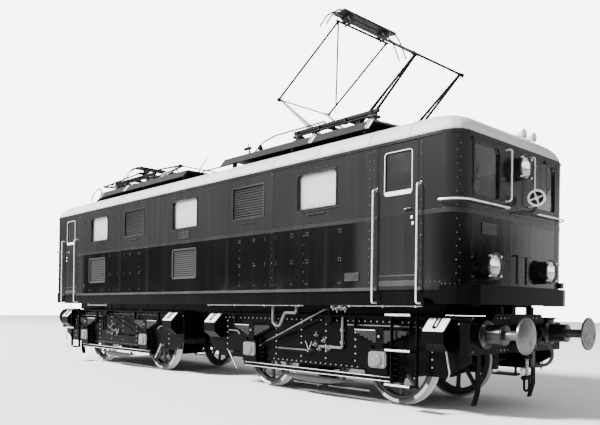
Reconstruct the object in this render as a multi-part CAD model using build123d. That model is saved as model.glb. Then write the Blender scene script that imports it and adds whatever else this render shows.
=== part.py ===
from build123d import *
import math
import os

# Boxcab electric locomotive on two four-wheel bogies, in millimetres.
# X runs along it, Y across it and Z up. Heights are written from the rail top, and
# every piece is raised by the flange depth when it is saved, so that the flanges
# stand at zero. The origin is on the centreline at mid-length.

os.makedirs("parts", exist_ok=True)

# Body shell
BODY_END = 6150.0
BODY_HALF = 1475.0
BODY_CORNER = 230.0
BODY_FLOOR = 1630.0
EAVE = 3655.0
WALL = 60.0
END_PANEL = 250.0
END_SEAM = BODY_END - END_PANEL
ROOF_SKIN = 42.0
SEAT = 0.3

# Round work is drawn with flat sides: facets in a quarter turn of the body's corners
# and of small corners, and sides of a round bar up to each radius.
CORNER_FACETS = 3
SMALL_FACETS = 2
ROUND_SIDES = ((24.0, 6), (60.0, 8), (110.0, 10), (1000.0, 16))

# Underframe
FLOOR_PLATE = 40.0
SOLE_DEPTH = 160.0
SOLE_INSET = 20.0
SOLE_WEB = 16.0
SOLE_FLANGE = 90.0
CENTRE_BEAM_Y = 520.0
CENTRE_BEAM_WIDTH = 140.0
APRON_START = BODY_END - 510.0
APRON_END = BODY_END + 140.0
APRON_PROUD = 6.0
APRON_RADIUS = 330.0
APRON_PLATE = 20.0
APRON_TOP = 1700.0
APRON_BOTTOM = 1450.0
PIPE_DIP = 1080.0

# Side windows, louvres and doors
WINDOW_FROM_END = 2505.0
WINDOW_X = BODY_END - WINDOW_FROM_END
WINDOW_WIDTH = 830.0
CENTRE_WINDOW_WIDTH = 845.0
WINDOW_SILL = 2910.0
WINDOW_HEIGHT = 540.0
WINDOW_RADIUS = 70.0
RIM_WIDTH = 26.0
RIM_PROUD = 9.0
GLASS = 6.0
GLASS_INSET = 22.0
BLIND = 4.0
UPPER_LOUVRE_X = 1975.0
UPPER_LOUVRE_WIDTH = 890.0
UPPER_LOUVRE_SILL = 2885.0
UPPER_LOUVRE_HEIGHT = 585.0
LOUVRE_FROM_END = 2410.0
LOWER_LOUVRE_X = BODY_END - LOUVRE_FROM_END
LOWER_LOUVRE_WIDTH = 850.0
LOWER_LOUVRE_SILL = 1920.0
LOWER_LOUVRE_HEIGHT = 588.0
LOUVRE_RADIUS = 45.0
LOUVRE_FRAME = 30.0
LOUVRE_PITCH = 42.0
SLAT_DEPTH = 30.0
DOOR_FROM_END = 934.0
DOOR_X = BODY_END - DOOR_FROM_END
DOOR_WIDTH = 687.0
DOOR_TOP = 3610.0
DOOR_THICK = 45.0
DOOR_GAP = 6.0
DOOR_LOCK_GAP = 9.0
DOOR_WINDOW_WIDTH = 480.0
DOOR_WINDOW_SILL = 2910.0
DOOR_WINDOW_HEIGHT = 600.0
HINGE_RADIUS = 9.0
HINGE_CLEAR = 14.0
HINGE_LENGTH = 70.0
HINGE_HEIGHTS = (1900.0, 3300.0)
HANDLE_REACH = 44.0
HANDLE_Z = 2725.0

# End windows, lamps and rails
END_WINDOW_Y = 805.0
END_WINDOW_WIDTH = 620.0
END_WINDOW_SILL = 2860.0
END_WINDOW_HEIGHT = 680.0
LAMP_RADIUS = 160.0
LAMP_LENGTH = 140.0
LAMP_RIM = 182.0
LAMP_RIM_LENGTH = 26.0
LENS_RADIUS = 148.0
LOWER_LAMP_Y = 785.0
LOWER_LAMP_Z = 1952.0
UPPER_LAMP_Z = 3350.0
RING_LAMP_X = BODY_END + 200.0
RING_LAMP_Y = 157.0
RING_LAMP_Z = 2946.0
RING_LAMP_RADIUS = 120.0
RING_LAMP_TURN = -60.0
BELT_Z = 2610.0
BELT_HEIGHT = 55.0
BELT_PROUD = 9.0
LEDGE_HEIGHT = 45.0
LEDGE_PROUD = 16.0
CORNICE_HEIGHT = 38.0
CORNICE_PROUD = 14.0
RAIL_RADIUS = 16.0
DOOR_RAIL_OUT = 80.0
DOOR_RAIL_TOP = 3020.0
DOOR_RAIL_BOTTOM = 1460.0
DOOR_RAIL_GAP = 30.0
CORNER_RAIL_OUT = 62.0
CORNER_RAIL_Z = 2770.0
CORNER_RAIL_START = BODY_END - 245.0
CORNER_RAIL_STOP = 300.0
END_HANDLE_Y = 320.0
END_HANDLE_OUT = 88.0
END_HANDLE_BOTTOM = 2860.0
END_HANDLE_TOP = 3560.0

# Cab furniture and the block of gear in the machine room
DESK_INNER_Y = 420.0
DESK_OUTER_Y = 1240.0
DESK_TOP = 2420.0
TABLE_TOP = 2250.0
SEAT_Y = 560.0
SEAT_TOP = 2150.0
CUSHION = 70.0
BACKREST_TOP = 2620.0
GEAR_FROM_END = 2250.0
GEAR_HALF = 850.0
GEAR_TOP = 3250.0

# Roof walkways and pantographs
PANTO_X = 3300.0
DECK_TOP = 4205.0
DECK_PLATE = 24.0
DECK_HALF = 1000.0
DECK_EDGE_DROP = 145.0
DECK_EDGE_OUT = 115.0
DECK_INNER_X = PANTO_X - 2660.0
DECK_OUTER_X = PANTO_X + 1070.0
RAMP_LENGTH = 530.0
RAMP_DROP = 205.0
INSULATOR_HEIGHT = 195.0
INSULATOR_RADIUS = 110.0
INSULATOR_SIDES = 8
INSULATOR_X = 850.0
INSULATOR_Y = 750.0
BASE_RAIL = 50.0
BASE_HALF_LENGTH = 950.0
PIVOT_X = 500.0
PIVOT_Z = 4340.0
ARM_Y = 587.0
LOWER_ARM = 1310.0
UPPER_ARM = 1755.0
APEX_X = 50.0
RAISED_ANGLE = 39.5
FOLDED_ANGLE = 6.1
TORQUE_TUBE = 34.0
PIVOT_PIN = 18.0
KNEE_TUBE = 21.0
KNEE_PIN = 12.0
ARM_TUBE = 15.0
ARM_SPREAD = 75.0
UPPER_TUBE = 14.0
BRACE_TUBE = 10.0
KNEE_BEARING = 80.0
KNEE_BEARING_WIDTH = 42.0
BRACE_FOOT = 0.14
APEX_TUBE = 18.0
OPEN_SLOT = 50.0
HEAD_RISE = 110.0
PAN_WIDTH = 112.0
PAN_GAP = 36.0
PAN_HALF = 670.0
PAN_DEPTH = 34.0
TIP_REACH = 360.0
TIP_DROP = 330.0
TIP_TUBE = 12.0
CABLE_Y = -600.0
HORN_YS = (350.0, 640.0)
HORN_Z = 3935.0
HORN_LENGTH = 260.0
HORN_BACK = 90.0
HORN_MOUTH = 66.0

# Bogies and wheels
BOGIE_X = 3300.0
HALF_WHEELBASE = 1450.0
WHEEL_RADIUS = 610.0
FLANGE_DEPTH = 28.0
TYRE_INNER_Y = 680.0
TYRE_WIDTH = 135.0
FLANGE_WIDTH = 32.0
TYRE_THICK = 62.0
RIM_THICK = 50.0
HUB_RADIUS = 150.0
HUB_PROUD = 20.0
WEB_INSET = 40.0
TYRE_SIDES = 24
SPOKES = 10
SPOKE_WIDTH = 78.0
SHOE_GAP = 12.0
SHOE_THICK = 62.0
AXLE_RADIUS = 92.0
JOURNAL_RADIUS = 62.0
JOURNAL_END = 1262.0
FRAME_Y = 1105.0
FRAME_PLATE = 55.0
FRAME_TOP = 1280.0
FRAME_BOTTOM = 480.0
FRAME_HALF = 2850.0
FRAME_END_BOTTOM = 700.0
HORN_HALF = 186.0
HORN_TOP = 850.0
CHEEK_WIDTH = 130.0
CHEEK_BOTTOM = 345.0
CHEEK_PROUD = 70.0
CHEEK_THICK = 34.0
ROD_OUT = 95.0
ROD_LOW_X = HORN_HALF + 24.0 - HALF_WHEELBASE
ROD_LOW_Z = 733.0
ROD_HIGH_X = 250.0
ROD_HIGH_Z = 1225.0
PULL_HALF = 750.0
PULL_Z = 712.0
PIPE_X = 660.0
PIPE_Z = 780.0
FLANGE_PLATE = 28.0
FLANGE_REACH = 62.0
HEADSTOCK_FRONT = FRAME_HALF + 50.0
HEADSTOCK_THICK = 130.0
HEADSTOCK_HALF = 1250.0
HEADSTOCK_TOP = 1330.0
HEADSTOCK_BOTTOM = 800.0
SHOULDER_LENGTH = 500.0
SHOULDER_DROP = 120.0
POST_Y = 420.0
END_BEAM = 90.0
TRANSOM_HALF = 340.0
TRANSOM_BOTTOM = 760.0
CENTRE_PIN = 100.0
PIN_CLEARANCE = 7.0
PIN_BOTTOM = 1130.0
BEARER_Y = 720.0
BEARER_RADIUS = 120.0
BOX_HALF = 172.0
BOX_BOTTOM = 440.0
BOX_TOP = 800.0
BOX_INNER_Y = 935.0
BOX_OUTER_Y = 1300.0
SHAFT_CLEARANCE = 0.5
LEAF_Z = 1075.0
LEAF_THICK = 30.0
LEAF_COUNT = 6
LEAF_HALF = 540.0
LEAF_FLAT = 480.0
BUCKLE_HALF = 68.0
COVER_THICK = 26.0
LEAF_Y = 1215.0
LEAF_WIDTH = 96.0
TIE_Z = 360.0
TIE_HEIGHT = 60.0
TIE_HALF = 1640.0
BUFFER_Y = 875.0
BUFFER_Z = 1060.0
BUFFER_LENGTH = 600.0
BUFFER_HEAD = 232.0
BUFFER_BARREL = 128.0
BUFFER_PLUNGER = 62.0
BUFFER_BARREL_LENGTH = 285.0
BUFFER_SIDES = 16
HOOK_Z = 1060.0
HOSE_Y = 450.0
HOSE_RADIUS = 24.0
HOSE_HIGH = 930.0
HOSE_LOW = 600.0
HOSE_REACH = 265.0
HOSE_START = 60.0
STEP_X = DOOR_X - BOGIE_X + 14.0
STEP_WIDTH = 430.0
STEP_OUTER_Y = BODY_HALF + 3.0
STEP_INNER_Y = STEP_OUTER_Y - 188.0
STEP_PLATE = 26.0
STEP_HEIGHTS = (350.0, 820.0, 1300.0)
SAND_OUTER_X = FRAME_HALF - 410.0
SAND_INNER_X = 300.0 - FRAME_HALF
SAND_HALF = 165.0
MOTOR_X = 850.0
MOTOR_Z = 640.0
MOTOR_RADIUS = 390.0
MOTOR_HALF = 480.0


def block(x, y, z):
    """Box between a pair of limits on each axis."""
    size = (x[1] - x[0], y[1] - y[0], z[1] - z[0])
    centre = ((x[0] + x[1]) / 2, (y[0] + y[1]) / 2, (z[0] + z[1]) / 2)
    return Pos(*centre) * Box(*size)


def prism_x(sketch, start, stop):
    """Extrude a sketch drawn in Y and Z from one X to another."""
    plane = Plane(origin=(start, 0, 0), x_dir=(0, 1, 0), z_dir=(1, 0, 0))
    return extrude(plane * sketch, amount=stop - start)


def prism_y(sketch, start, stop):
    """Extrude a sketch drawn in X and Z from one Y to another."""
    plane = Plane(origin=(0, stop, 0), x_dir=(1, 0, 0), z_dir=(0, -1, 0))
    return extrude(plane * sketch, amount=stop - start)


def prism_z(sketch, start, stop):
    """Extrude a sketch drawn in X and Y from one height to another."""
    return extrude(Pos(0, 0, start) * sketch, amount=stop - start)


def outline(*points):
    """Face inside a closed run of straight edges."""
    return make_face(Polyline(*points, close=True))


def rounded(width, height, radius, facets, square_below=False):
    """Rectangle about the origin whose corners are arcs drawn in a few facets."""
    points = []
    for start, side, rise in ((0, 1, 1), (90, -1, 1), (180, -1, -1), (270, 1, -1)):
        if square_below and rise < 0:
            points.append((side * width / 2, rise * height / 2))
            continue
        for step in range(facets + 1):
            turn = math.radians(start + 90 * step / facets)
            x = side * (width / 2 - radius) + radius * math.cos(turn)
            y = rise * (height / 2 - radius) + radius * math.sin(turn)
            points.append((x, y))
    return outline(*points)


def sides_for(radius):
    """Number of flat sides of a round bar of this size."""
    return next(sides for limit, sides in ROUND_SIDES if radius <= limit)


def bar(radius):
    """Section of a round bar, with its corners on the radius."""
    return RegularPolygon(radius, sides_for(radius))


def bore(radius):
    """Section of a hole that a bar of this radius turns freely in."""
    sides = sides_for(radius)
    return RegularPolygon(radius, sides, major_radius=False, rotation=180 / sides)


def rod(radius, *points):
    """Bar along straight runs with mitred corners."""
    start = Vector(*points[0])
    ahead = Vector(*points[1]) - start
    section = Plane(origin=start, z_dir=ahead) * bar(radius)
    path = Polyline(*points)
    return sweep(section, path=path, transition=Transition.RIGHT)


def disc_x(radius, x, y, z, section=bar):
    """Bar along X between two X limits, or a bore."""
    return prism_x(Pos(y, z) * section(radius), *x)


def disc_y(radius, x, y, z, section=bar):
    """Bar along Y between two Y limits, or a bore."""
    return prism_y(Pos(x, z) * section(radius), *y)


def disc_z(radius, x, y, z, section=bar):
    """Bar along Z between two heights, or a bore."""
    return prism_z(Pos(x, y) * section(radius), *z)


def lathe(rows, sides):
    """Piece turned about Z, from rows of height and radius."""
    return loft([Pos(0, 0, z) * RegularPolygon(radius, sides) for z, radius in rows], ruled=True)


def across(shape):
    """The mirror image on the other side of the centreline."""
    return mirror(shape, about=Plane.XZ)


def turned(shape):
    """The same piece at the other end, turned half round."""
    return Rot(0, 0, 180) * shape


def fused(shapes):
    """One shape from several that touch or overlap."""
    first, *rest = shapes
    whole = first.fuse(*rest) if rest else first
    return Compound(list(whole)) if isinstance(whole, list) else whole


def save(name, *shapes):
    """Write one node, raised so that the flanges stand at zero."""
    whole = shapes[0] if len(shapes) == 1 else Compound(list(shapes))
    solids = (Pos(0, 0, FLANGE_DEPTH) * whole).solids()
    export_step(Compound(solids) if len(solids) > 1 else solids[0], f"parts/{name}.step")


# Body shell


def body_plan(outset=0.0):
    """Rounded plan of the body, grown or shrunk by an offset."""
    length = 2 * (BODY_END + outset)
    width = 2 * (BODY_HALF + outset)
    return rounded(length, width, BODY_CORNER + outset, CORNER_FACETS)


def arched(width, height, radius):
    """Opening with round upper corners and square lower ones, centred."""
    return rounded(width, height, radius, SMALL_FACETS, square_below=True)


# Openings in the near wall: kind, centre X, width, sill and height.
# The far wall has the same ones turned half round.
SIDE_WINDOWS = (
    (-WINDOW_X, WINDOW_WIDTH),
    (0.0, CENTRE_WINDOW_WIDTH),
    (WINDOW_X, WINDOW_WIDTH),
)
SIDE_LOUVRES = (
    (-UPPER_LOUVRE_X, UPPER_LOUVRE_WIDTH, UPPER_LOUVRE_SILL, UPPER_LOUVRE_HEIGHT),
    (UPPER_LOUVRE_X, UPPER_LOUVRE_WIDTH, UPPER_LOUVRE_SILL, UPPER_LOUVRE_HEIGHT),
    (0.0, LOWER_LOUVRE_WIDTH, LOWER_LOUVRE_SILL, LOWER_LOUVRE_HEIGHT),
    (-LOWER_LOUVRE_X, LOWER_LOUVRE_WIDTH, LOWER_LOUVRE_SILL, LOWER_LOUVRE_HEIGHT),
)
DOOR_ENDS = (-1, 1)


def hinge_barrels(radius, start, stop):
    """Upright barrels on the front near door's hinge line, at each hinge height."""
    x = DOOR_X - DOOR_WIDTH / 2 + DOOR_GAP
    y = -BODY_HALF + DOOR_THICK
    return [disc_z(radius, x, y, (z + start, z + stop)) for z in HINGE_HEIGHTS]


def at_end(end, shapes):
    """The same shapes at the front end, or mirrored to the rear one."""
    return shapes if end > 0 else [mirror(shape, about=Plane.YZ) for shape in shapes]


def window_sketch(x, width, grow=0.0):
    """Side window outline at its place."""
    shape = arched(width + 2 * grow, WINDOW_HEIGHT + 2 * grow, WINDOW_RADIUS + grow)
    return Pos(x, WINDOW_SILL + WINDOW_HEIGHT / 2) * shape


def louvre_sketch(x, width, sill, height, grow=0.0):
    """Louvre outline at its place."""
    shape = rounded(width + 2 * grow, height + 2 * grow, LOUVRE_RADIUS + grow, SMALL_FACETS)
    return Pos(x, sill + height / 2) * shape


def side_wall():
    """Near side wall with window rims, and its windows, louvres and doorways cut."""
    outer = -BODY_HALF
    inner = outer + WALL
    wall = block((-END_SEAM, END_SEAM), (outer, inner), (BODY_FLOOR, EAVE))
    cuts = [prism_y(window_sketch(x, width), outer - 1, inner + 1) for x, width in SIDE_WINDOWS]
    for x, width, sill, height in SIDE_LOUVRES:
        cuts.append(prism_y(louvre_sketch(x, width, sill, height), outer - 1, inner + 1))
    for end in DOOR_ENDS:
        limits = (end * DOOR_X - DOOR_WIDTH / 2, end * DOOR_X + DOOR_WIDTH / 2)
        cuts.append(block(limits, (outer - 1, inner + 1), (BODY_FLOOR - 1, DOOR_TOP)))
        cuts += at_end(end, hinge_barrels(HINGE_CLEAR, -SEAT, HINGE_LENGTH + DOOR_GAP))
    proud = []
    for x, width in SIDE_WINDOWS:
        rim = window_sketch(x, width, RIM_WIDTH) - window_sketch(x, width)
        proud.append(prism_y(rim, outer - RIM_PROUD, outer))
    for end in DOOR_ENDS:
        proud += at_end(end, hinge_barrels(HINGE_RADIUS, -HINGE_LENGTH, -SEAT))
    return wall.cut(*cuts).fuse(*proud)


def end_window_sketch(side, grow=0.0):
    """Cab window outline on the end wall."""
    shape = arched(END_WINDOW_WIDTH + 2 * grow, END_WINDOW_HEIGHT + 2 * grow, WINDOW_RADIUS + grow)
    return Pos(side * END_WINDOW_Y, END_WINDOW_SILL + END_WINDOW_HEIGHT / 2) * shape


def end_wall():
    """Front wall with both round corners, window rims and two windows cut."""
    ring = prism_z(body_plan() - body_plan(-WALL), BODY_FLOOR, EAVE)
    keep = block((END_SEAM, BODY_END + 1), (-2 * BODY_HALF, 2 * BODY_HALF), (BODY_FLOOR, EAVE))
    wall = ring & keep
    for side in (-1, 1):
        hole = end_window_sketch(side)
        wall = wall + prism_x(end_window_sketch(side, RIM_WIDTH), BODY_END, BODY_END + RIM_PROUD)
        wall = wall - prism_x(hole, BODY_END - 2 * WALL, BODY_END + RIM_PROUD + 1)
    return wall


# Roof sections: inset as a share of the half width, rise above the eave, and how much
# rounder the corner is than the body's.
ROOF_SECTIONS = (
    (0.0, 0.0, 0.0),
    (0.008, 65.0, 6.0),
    (0.03, 135.0, 20.0),
    (0.071, 200.0, 45.0),
    (0.129, 253.0, 75.0),
    (0.254, 313.0, 130.0),
    (0.475, 405.0, 240.0),
    (0.746, 463.0, 100.0),
    (0.949, 475.0, -170.0),
)


def roof_solid(inset=0.0, drop=0.0):
    """Dome lofted through shrinking rounded rectangles."""
    sections = []
    for share, rise, rounder in ROOF_SECTIONS:
        shrink = share * BODY_HALF + inset
        length = 2 * (BODY_END - shrink)
        width = 2 * (BODY_HALF - shrink)
        corner = min(BODY_CORNER + rounder, width / 2 - 5)
        sections.append(Pos(0, 0, EAVE + rise - drop) * rounded(length, width, corner, CORNER_FACETS))
    return loft(sections, ruled=True)


def roof_shell():
    """Roof skin open underneath."""
    inner = roof_solid(inset=ROOF_SKIN, drop=ROOF_SKIN)
    inner = inner + prism_z(body_plan(-ROOF_SKIN), EAVE - ROOF_SKIN - 1, EAVE - ROOF_SKIN + 1)
    return roof_solid() - inner


def underframe():
    """Floor plate, sole bars, centre beams, bolsters, centre pins and end aprons."""
    sole_y = BODY_HALF - SOLE_INSET
    floor_bottom = BODY_FLOOR - FLOOR_PLATE
    sole_bottom = floor_bottom - SOLE_DEPTH
    pieces = [prism_z(body_plan(-SOLE_INSET), floor_bottom, BODY_FLOOR)]
    for side in (-1, 1):
        outer = side * sole_y
        web = sorted((outer, outer - side * SOLE_WEB))
        flange = sorted((outer, outer - side * SOLE_FLANGE))
        reach = (-APRON_START, APRON_START)
        pieces.append(block(reach, web, (sole_bottom, floor_bottom)))
        pieces.append(block(reach, flange, (sole_bottom, sole_bottom + SOLE_WEB)))
        beam = sorted((side * CENTRE_BEAM_Y, side * (CENTRE_BEAM_Y + CENTRE_BEAM_WIDTH)))
        pieces.append(block((-END_SEAM, END_SEAM), beam, (sole_bottom, floor_bottom)))
        pivot = side * BOGIE_X
        bolster = (pivot - TRANSOM_HALF, pivot + TRANSOM_HALF)
        pieces.append(block(bolster, (-sole_y, sole_y), (sole_bottom, floor_bottom)))
        pieces.append(disc_z(CENTRE_PIN, pivot, 0, (PIN_BOTTOM, sole_bottom)))
    for piece in (apron(), sole_pipe()):
        pieces += [piece, turned(piece)]
    return fused(pieces)


def sole_pipe():
    """Air pipe that dips below the near sole bar and runs back up into the bolster."""
    face = SOLE_INSET - BODY_HALF
    y = face + 115
    low = PIPE_DIP
    start = BOGIE_X - TRANSOM_HALF - 450
    stop = BOGIE_X - TRANSOM_HALF + 120
    bottom = BODY_FLOOR - FLOOR_PLATE - SOLE_DEPTH
    return rod(
        22,
        (start, y, bottom + SOLE_WEB),
        (start, y, low + 60),
        (start + 70, y, low),
        (start + 170, y, low),
        (start + 300, y, low + 220),
        (stop, y, low + 220),
        (stop, y, bottom),
    )


def apron():
    """Curved plate round the front end, with the ledge on top of it."""
    half = BODY_HALF + APRON_PROUD
    whole = rounded(2 * APRON_END, 2 * half, APRON_RADIUS, CORNER_FACETS)
    inside = rounded(
        2 * (APRON_END - APRON_PLATE),
        2 * (half - APRON_PLATE),
        APRON_RADIUS - APRON_PLATE,
        CORNER_FACETS,
    )
    shell = prism_z(whole, APRON_BOTTOM, APRON_TOP)
    shell = shell - prism_z(inside, APRON_BOTTOM - 1, BODY_FLOOR - FLOOR_PLATE)
    shell = shell - prism_z(body_plan(), BODY_FLOOR, APRON_TOP + 1)
    keep = block((APRON_START, APRON_END + 1), (-half - 1, half + 1), (APRON_BOTTOM, APRON_TOP))
    ends = block((APRON_START, END_SEAM), (-half - 1, half + 1), (BODY_FLOOR - SEAT, APRON_TOP + 1))
    toe = APRON_START + 190.0
    foot = outline(
        (APRON_START - 1, APRON_BOTTOM - 1),
        (toe, APRON_BOTTOM - 1),
        (toe - 30, APRON_BOTTOM + 45),
        (APRON_START + 90, APRON_BOTTOM + 80),
        (APRON_START - 1, APRON_BOTTOM + 90),
    )
    return (shell & keep) - ends - prism_y(foot, -half - 1, half + 1)


def pane(sketch, y):
    """Glass plate along the side wall that fills an opening."""
    return prism_y(sketch, y, y + GLASS)


def glazing():
    """Panes of the side and end windows, and the lenses of the headlamps."""
    panes = []
    for x, width in SIDE_WINDOWS:
        sheet = pane(window_sketch(x, width), -BODY_HALF + GLASS_INSET)
        panes += [sheet, turned(sheet)]
    for side in (-1, 1):
        start = BODY_END - GLASS_INSET - GLASS
        sheet = prism_x(end_window_sketch(side), start, start + GLASS)
        panes += [sheet, turned(sheet)]
    for y, z in LAMPS:
        front = BODY_END + LAMP_LENGTH
        lens = disc_x(LENS_RADIUS, (front - LAMP_RIM_LENGTH, front - LAMP_RIM_LENGTH + GLASS), y, z)
        panes += [lens, turned(lens)]
    return panes


def blinds():
    """White roller blinds drawn down behind the side windows."""
    sheets = []
    inner = -BODY_HALF + WALL
    for x, width in SIDE_WINDOWS:
        reach = (x - width / 2 - RIM_WIDTH, x + width / 2 + RIM_WIDTH)
        height = (WINDOW_SILL - RIM_WIDTH, WINDOW_SILL + WINDOW_HEIGHT + RIM_WIDTH)
        sheet = block(reach, (inner + SEAT, inner + SEAT + BLIND), height)
        sheets += [sheet, turned(sheet)]
    return sheets


def louvre(x, width, sill, height):
    """Round-cornered frame round a panel of pressed slats that shed rain outwards."""
    outer = -BODY_HALF - BELT_PROUD
    inner = -BODY_HALF + WALL
    inside = (width - 2 * LOUVRE_FRAME, height - 2 * LOUVRE_FRAME)
    opening = Pos(x, sill + height / 2) * Rectangle(*inside)
    grille = prism_y(louvre_sketch(x, width, sill, height) - opening, outer, inner)
    count = round(inside[1] / LOUVRE_PITCH)
    pitch = inside[1] / count
    top = sill + height - LOUVRE_FRAME
    lip = outer + LOUVRE_FRAME / 2
    root = lip + SLAT_DEPTH
    points = [(inner, top), (root, top)]
    for number in range(1, count + 1):
        points += [(lip, top - number * pitch), (root, top - number * pitch)]
    points.append((inner, top - inside[1]))
    panel = prism_x(outline(*points), x - inside[0] / 2, x + inside[0] / 2)
    return grille + panel


def louvres():
    """Air intake grilles of both sides."""
    near = [louvre(*row) for row in SIDE_LOUVRES]
    return near + [turned(piece) for piece in near]


def band(proud, bottom, top):
    """Moulding round the body, broken at the doorways."""
    ring = prism_z(body_plan(proud) - body_plan(), bottom, top)
    gaps = []
    for end in DOOR_ENDS:
        limits = (end * DOOR_X - DOOR_WIDTH / 2, end * DOOR_X + DOOR_WIDTH / 2)
        gaps.append(block(limits, (-2 * BODY_HALF, 2 * BODY_HALF), (bottom - 1, top + 1)))
    return ring.cut(*gaps) if bottom < DOOR_TOP else ring


def mouldings():
    """Cornice, belt and foot ledge."""
    cornice = band(CORNICE_PROUD, EAVE - CORNICE_HEIGHT, EAVE)
    belt = band(BELT_PROUD, BELT_Z, BELT_Z + BELT_HEIGHT)
    ledge = band(LEDGE_PROUD, BODY_FLOOR, BODY_FLOOR + LEDGE_HEIGHT)
    clear = APRON_START - SEAT
    ledge = ledge & block((-clear, clear), (-2 * BODY_HALF, 2 * BODY_HALF), (BODY_FLOOR, EAVE))
    return [cornice, belt, ledge]


def door_rail(x):
    """Long upright rail beside a doorway, from the sole bar to above the belt."""
    wall = -BODY_HALF
    sole = wall + SOLE_INSET
    out = wall - DOOR_RAIL_OUT
    return rod(
        RAIL_RADIUS,
        (x, wall, DOOR_RAIL_TOP),
        (x, out, DOOR_RAIL_TOP),
        (x, out, DOOR_RAIL_BOTTOM),
        (x, sole, DOOR_RAIL_BOTTOM),
    )


def corner_rail(side):
    """Rail that turns the corner of the cab."""
    out = BODY_HALF + CORNER_RAIL_OUT
    front = BODY_END + CORNER_RAIL_OUT
    bend = BODY_CORNER + CORNER_RAIL_OUT
    centre = (BODY_END - BODY_CORNER, BODY_HALF - BODY_CORNER)
    points = [(CORNER_RAIL_START, BODY_HALF), (CORNER_RAIL_START, out)]
    for angle in (72.0, 45.0, 18.0):
        turn = math.radians(angle)
        points.append((centre[0] + bend * math.cos(turn), centre[1] + bend * math.sin(turn)))
    points += [(front, CORNER_RAIL_STOP), (BODY_END, CORNER_RAIL_STOP)]
    return rod(RAIL_RADIUS, *[(x, side * y, CORNER_RAIL_Z) for x, y in points])


def end_handle(side):
    """Upright grab handle beside the middle lamp."""
    y = side * END_HANDLE_Y
    front = BODY_END + END_HANDLE_OUT
    return rod(
        RAIL_RADIUS,
        (BODY_END, y, END_HANDLE_TOP),
        (front, y, END_HANDLE_TOP),
        (front, y, END_HANDLE_BOTTOM),
        (BODY_END, y, END_HANDLE_BOTTOM),
    )


def handrails():
    """All rails and grab handles on the body."""
    near = []
    for end in DOOR_ENDS:
        for edge in (-1, 1):
            offset = edge * (DOOR_WIDTH / 2 + DOOR_RAIL_GAP)
            near.append(door_rail(end * DOOR_X + offset))
    front = [corner_rail(-1), corner_rail(1), end_handle(-1), end_handle(1)]
    ends = front + [turned(piece) for piece in front]
    return near + [turned(piece) for piece in near] + ends


LAMPS = (
    (-LOWER_LAMP_Y, LOWER_LAMP_Z),
    (LOWER_LAMP_Y, LOWER_LAMP_Z),
    (0.0, UPPER_LAMP_Z),
)


def drum_lamp(y, z):
    """Drum headlamp that widens to its rim, hollow behind its lens."""
    front = BODY_END + LAMP_LENGTH
    rows = ((0, LAMP_RADIUS - 6), (LAMP_LENGTH - LAMP_RIM_LENGTH, LAMP_RADIUS), (LAMP_LENGTH, LAMP_RIM))
    drum = Pos(BODY_END, y, z) * Rot(0, 90, 0) * lathe(rows, sides_for(LAMP_RADIUS))
    return drum - disc_x(LENS_RADIUS + SEAT, (front - 4 * LAMP_RIM_LENGTH, front + 1), y, z)


def ring_lamp():
    """Small signal lamp with a broad ring, turned outwards on a bracket."""
    turn = Rot(0, 0, RING_LAMP_TURN)
    lamp = disc_x(RING_LAMP_RADIUS, (0, 30), 0, 0) - disc_x(RING_LAMP_RADIUS - 30, (8, 31), 0, 0)
    back = disc_x(RING_LAMP_RADIUS - 20, (-70, 0), 0, 0)
    lamp = Pos(RING_LAMP_X, RING_LAMP_Y, RING_LAMP_Z) * turn * (lamp + back)
    post_x = RING_LAMP_X - 20
    post_y = RING_LAMP_Y + 30
    foot = RING_LAMP_Z - RING_LAMP_RADIUS - 30
    post = disc_z(14, post_x, post_y, (foot, RING_LAMP_Z - RING_LAMP_RADIUS + 40))
    shelf = block((BODY_END, post_x + 60), (post_y - 60, post_y + 60), (foot - 20, foot))
    return lamp + post + shelf


def lamps():
    """Headlamps and signal lamps of both ends."""
    front = [drum_lamp(y, z) for y, z in LAMPS] + [ring_lamp()]
    return front + [turned(piece) for piece in front]


def door():
    """Near front cab door with its window and lever handle, and the pane in it."""
    outer = -BODY_HALF
    inner = outer + DOOR_THICK
    hinge = DOOR_X - DOOR_WIDTH / 2 + DOOR_GAP
    lock = DOOR_X + DOOR_WIDTH / 2 - DOOR_LOCK_GAP
    leaf = block((hinge, lock), (outer, inner), (BODY_FLOOR + DOOR_GAP, DOOR_TOP - DOOR_GAP))
    centre = Pos(DOOR_X, DOOR_WINDOW_SILL + DOOR_WINDOW_HEIGHT / 2)
    size = (DOOR_WINDOW_WIDTH, DOOR_WINDOW_HEIGHT)
    opening = centre * rounded(*size, WINDOW_RADIUS, SMALL_FACETS)
    leaf = leaf - prism_y(opening, outer - 1, inner + 1)
    leaf = leaf.cut(*hinge_barrels(HINGE_CLEAR, -HINGE_LENGTH - DOOR_GAP, 0))
    leaf = leaf.fuse(*hinge_barrels(HINGE_RADIUS, 0, HINGE_LENGTH))
    grip_x = lock - 210
    out = outer - HANDLE_REACH
    grip = rod(9, (grip_x, outer, HANDLE_Z), (grip_x, out, HANDLE_Z), (grip_x + 120, out, HANDLE_Z))
    smaller = [length - 2 * SEAT for length in size]
    glass = centre * rounded(*smaller, WINDOW_RADIUS, SMALL_FACETS)
    return leaf + grip, prism_y(glass, outer + GLASS_INSET, outer + GLASS_INSET + GLASS)


# Roof


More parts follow.
